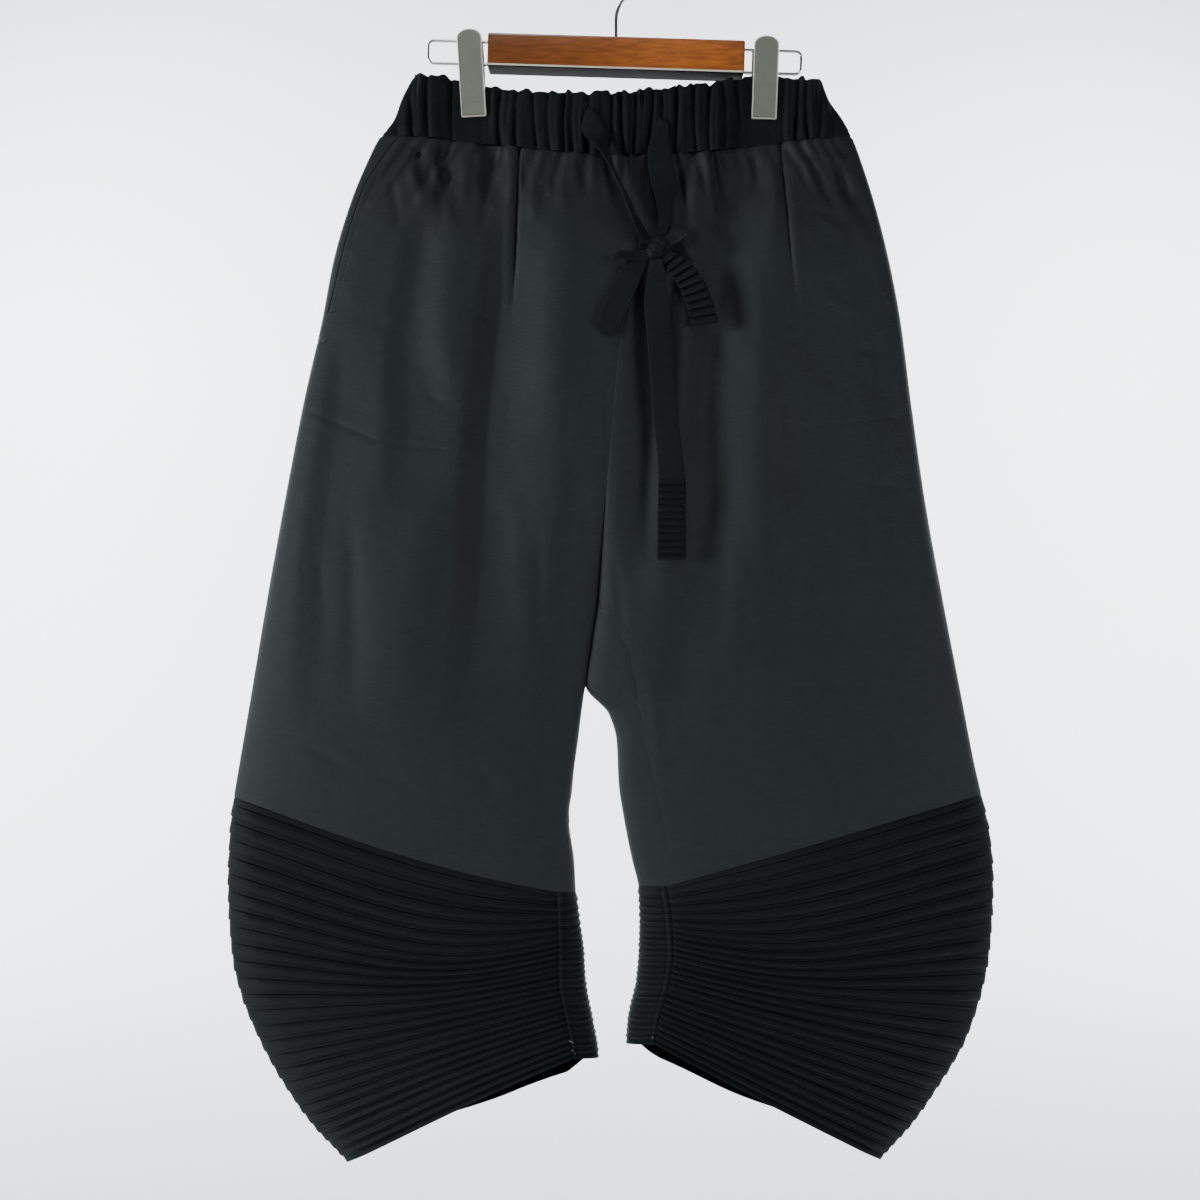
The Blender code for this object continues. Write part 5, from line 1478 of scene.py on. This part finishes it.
    def plate(self, height, outward):
        """Rings of points from the plate's back edge over its rim to the middle of its face."""
        half, arch = CLIP_WIDTH / 2, 7.0
        outline = arc(half - 1, -height / 2 + 1, 1, 270, 361, 30)
        outline += [(half * u, height / 2 - arch + arch * v) for u, v in arc(0, 0, 1, 4, 177, 9)]
        outline += arc(-half + 1, -height / 2 + 1, 1, 180, 271, 30)
        line = np.array(outline)
        edge = np.roll(line, -1, axis=0) - np.roll(line, 1, axis=0)
        inward = np.stack([-edge[:, 1], edge[:, 0]], axis=-1)
        inward /= np.linalg.norm(inward, axis=1, keepdims=True)
        flat = CLIP_PLATE / 2
        rings = ((0.35, -flat), (0.0, -flat + 0.3), (0.0, flat - 0.1), (0.25, flat + 0.22), (0.85, flat + 0.25),
                 (1.15, flat), (1.6, flat))
        points = [
            Vector((px + nx * inset, py + ny * inset, level * outward))
            for inset, level in rings for (px, py), (nx, ny) in zip(outline, inward)
        ]
        faces = grid_faces(len(rings), len(outline)) + end_caps(len(points), len(outline))
        # The rim's faces: polished, and paler as painted highlight.
        polished = 4 * len(outline)
        return points, faces, [int(number < polished) for number in range(len(faces))]

    def slide(self, side, dull):
        """The carrier on the wire loop: two cheeks, a pin through them and a coil spring."""
        x, _, height, _ = CLIPS[side]
        loop_z = BAR_CENTRE[1] - (x - BAR_CENTRE[0]) * math.sin(math.radians(BAR_TILT))
        place = Matrix.Translation(mm(x + 1.0, 0, loop_z)) @ turned(BAR_TILT)
        reach = JAW_Y + height * 0.62 * math.sin(math.radians(CLIP_SPREAD)) - 0.6
        outline = [(-reach, -6.6), (reach, -6.6), (reach, 4.4), (reach - 2, 6.6), (-reach + 2, 6.6), (-reach, 4.4)]
        faces = [range(6), range(6, 12)[::-1], *grid_faces(2, 6)]
        parts = [
            ([place @ mm(cheek + dx, y, pz) for dx in (0, 0.7) for y, pz in outline], faces) for cheek in (-6.6, 6.0)
        ]
        pin = [place @ mm(px, 0, 0) for px in (-7.6, -7.2, 7.2, 7.6)]
        parts.append(tube_part(pin, [1.0 * MM, 1.3 * MM, 1.3 * MM, 1.0 * MM], 12))
        turns = [(k, 2 * math.pi * k / 14) for k in range(6 * 14 + 1)]
        coil = [mm(-5 + 10 * k / 84, 2.5 * math.cos(t), 2.5 * math.sin(t)) for k, t in turns]
        parts.append(tube_part([place @ p for p in [mm(-5, 2.5, -6), *coil, mm(5, 2.5, -6)]], 0.45 * MM, 6))
        node = f"{side}_clip_slide"
        joined(f"{node}_carrier", parts, dull, node, 40, True)


class TROUSERS_OT_cut_sizes(bpy.types.Operator):
    """Collects, for every sewn piece in CUTS, the sewing laid on it and its area; nothing further is done with them."""

    bl_idname = "trousers.cut_sizes"
    bl_label = "Cut sizes"

    def execute(self, context):
        words = ("_stitches", "thread_end", "buttonhole")
        sewn = [o for o in bpy.data.objects if any(word in o.name for word in words)]
        for name, width, length, area, held, rests in CUTS:
            node = name.rsplit("_", 1)[0]
            on_it = [o for o in sewn if o.name.startswith(node)]
            if name == "tie_tail_tape":
                on_it.append(bpy.data.objects["tie_knot_wraps"])
            extra = {"with_pieces": on_it} if on_it else {}
            if area:
                extra["area"] = area
        return {"FINISHED"}


class TROUSERS_PT_panel(bpy.types.Panel):
    """Lists the trousers' pieces in the sidebar."""

    bl_label = "Trousers"
    bl_idname = "TROUSERS_PT_panel"
    bl_space_type = "VIEW_3D"
    bl_region_type = "UI"
    bl_category = "Trousers"

    def draw(self, context):
        layout = self.layout
        for name in TrouserSettings.__annotations__:
            layout.prop(context.scene.trousers, name)
        for operator in OPERATORS:
            layout.operator(operator.bl_idname)


OPERATORS = (
    TROUSERS_OT_stage,
    TROUSERS_OT_legs,
    TROUSERS_OT_cuffs,
    TROUSERS_OT_waistband,
    TROUSERS_OT_pocket_bags,
    TROUSERS_OT_tie,
    TROUSERS_OT_sewing,
    TROUSERS_OT_hanger,
    TROUSERS_OT_cut_sizes,
)
CLASSES = (TrouserSettings, *OPERATORS, TROUSERS_PT_panel)


def register():
    for one in CLASSES:
        bpy.utils.register_class(one)
    bpy.types.Scene.trousers = PointerProperty(type=TrouserSettings)


def unregister():
    del bpy.types.Scene.trousers
    for one in reversed(CLASSES):
        bpy.utils.unregister_class(one)


def main():
    register()
    bpy.ops.trousers.stage()
    bpy.ops.trousers.legs()
    bpy.ops.trousers.cuffs()
    bpy.ops.trousers.waistband()
    bpy.ops.trousers.pocket_bags()
    bpy.ops.trousers.tie()
    bpy.ops.trousers.sewing()
    bpy.ops.trousers.hanger()
    bpy.ops.trousers.cut_sizes()


if __name__ == "__main__":
    main()
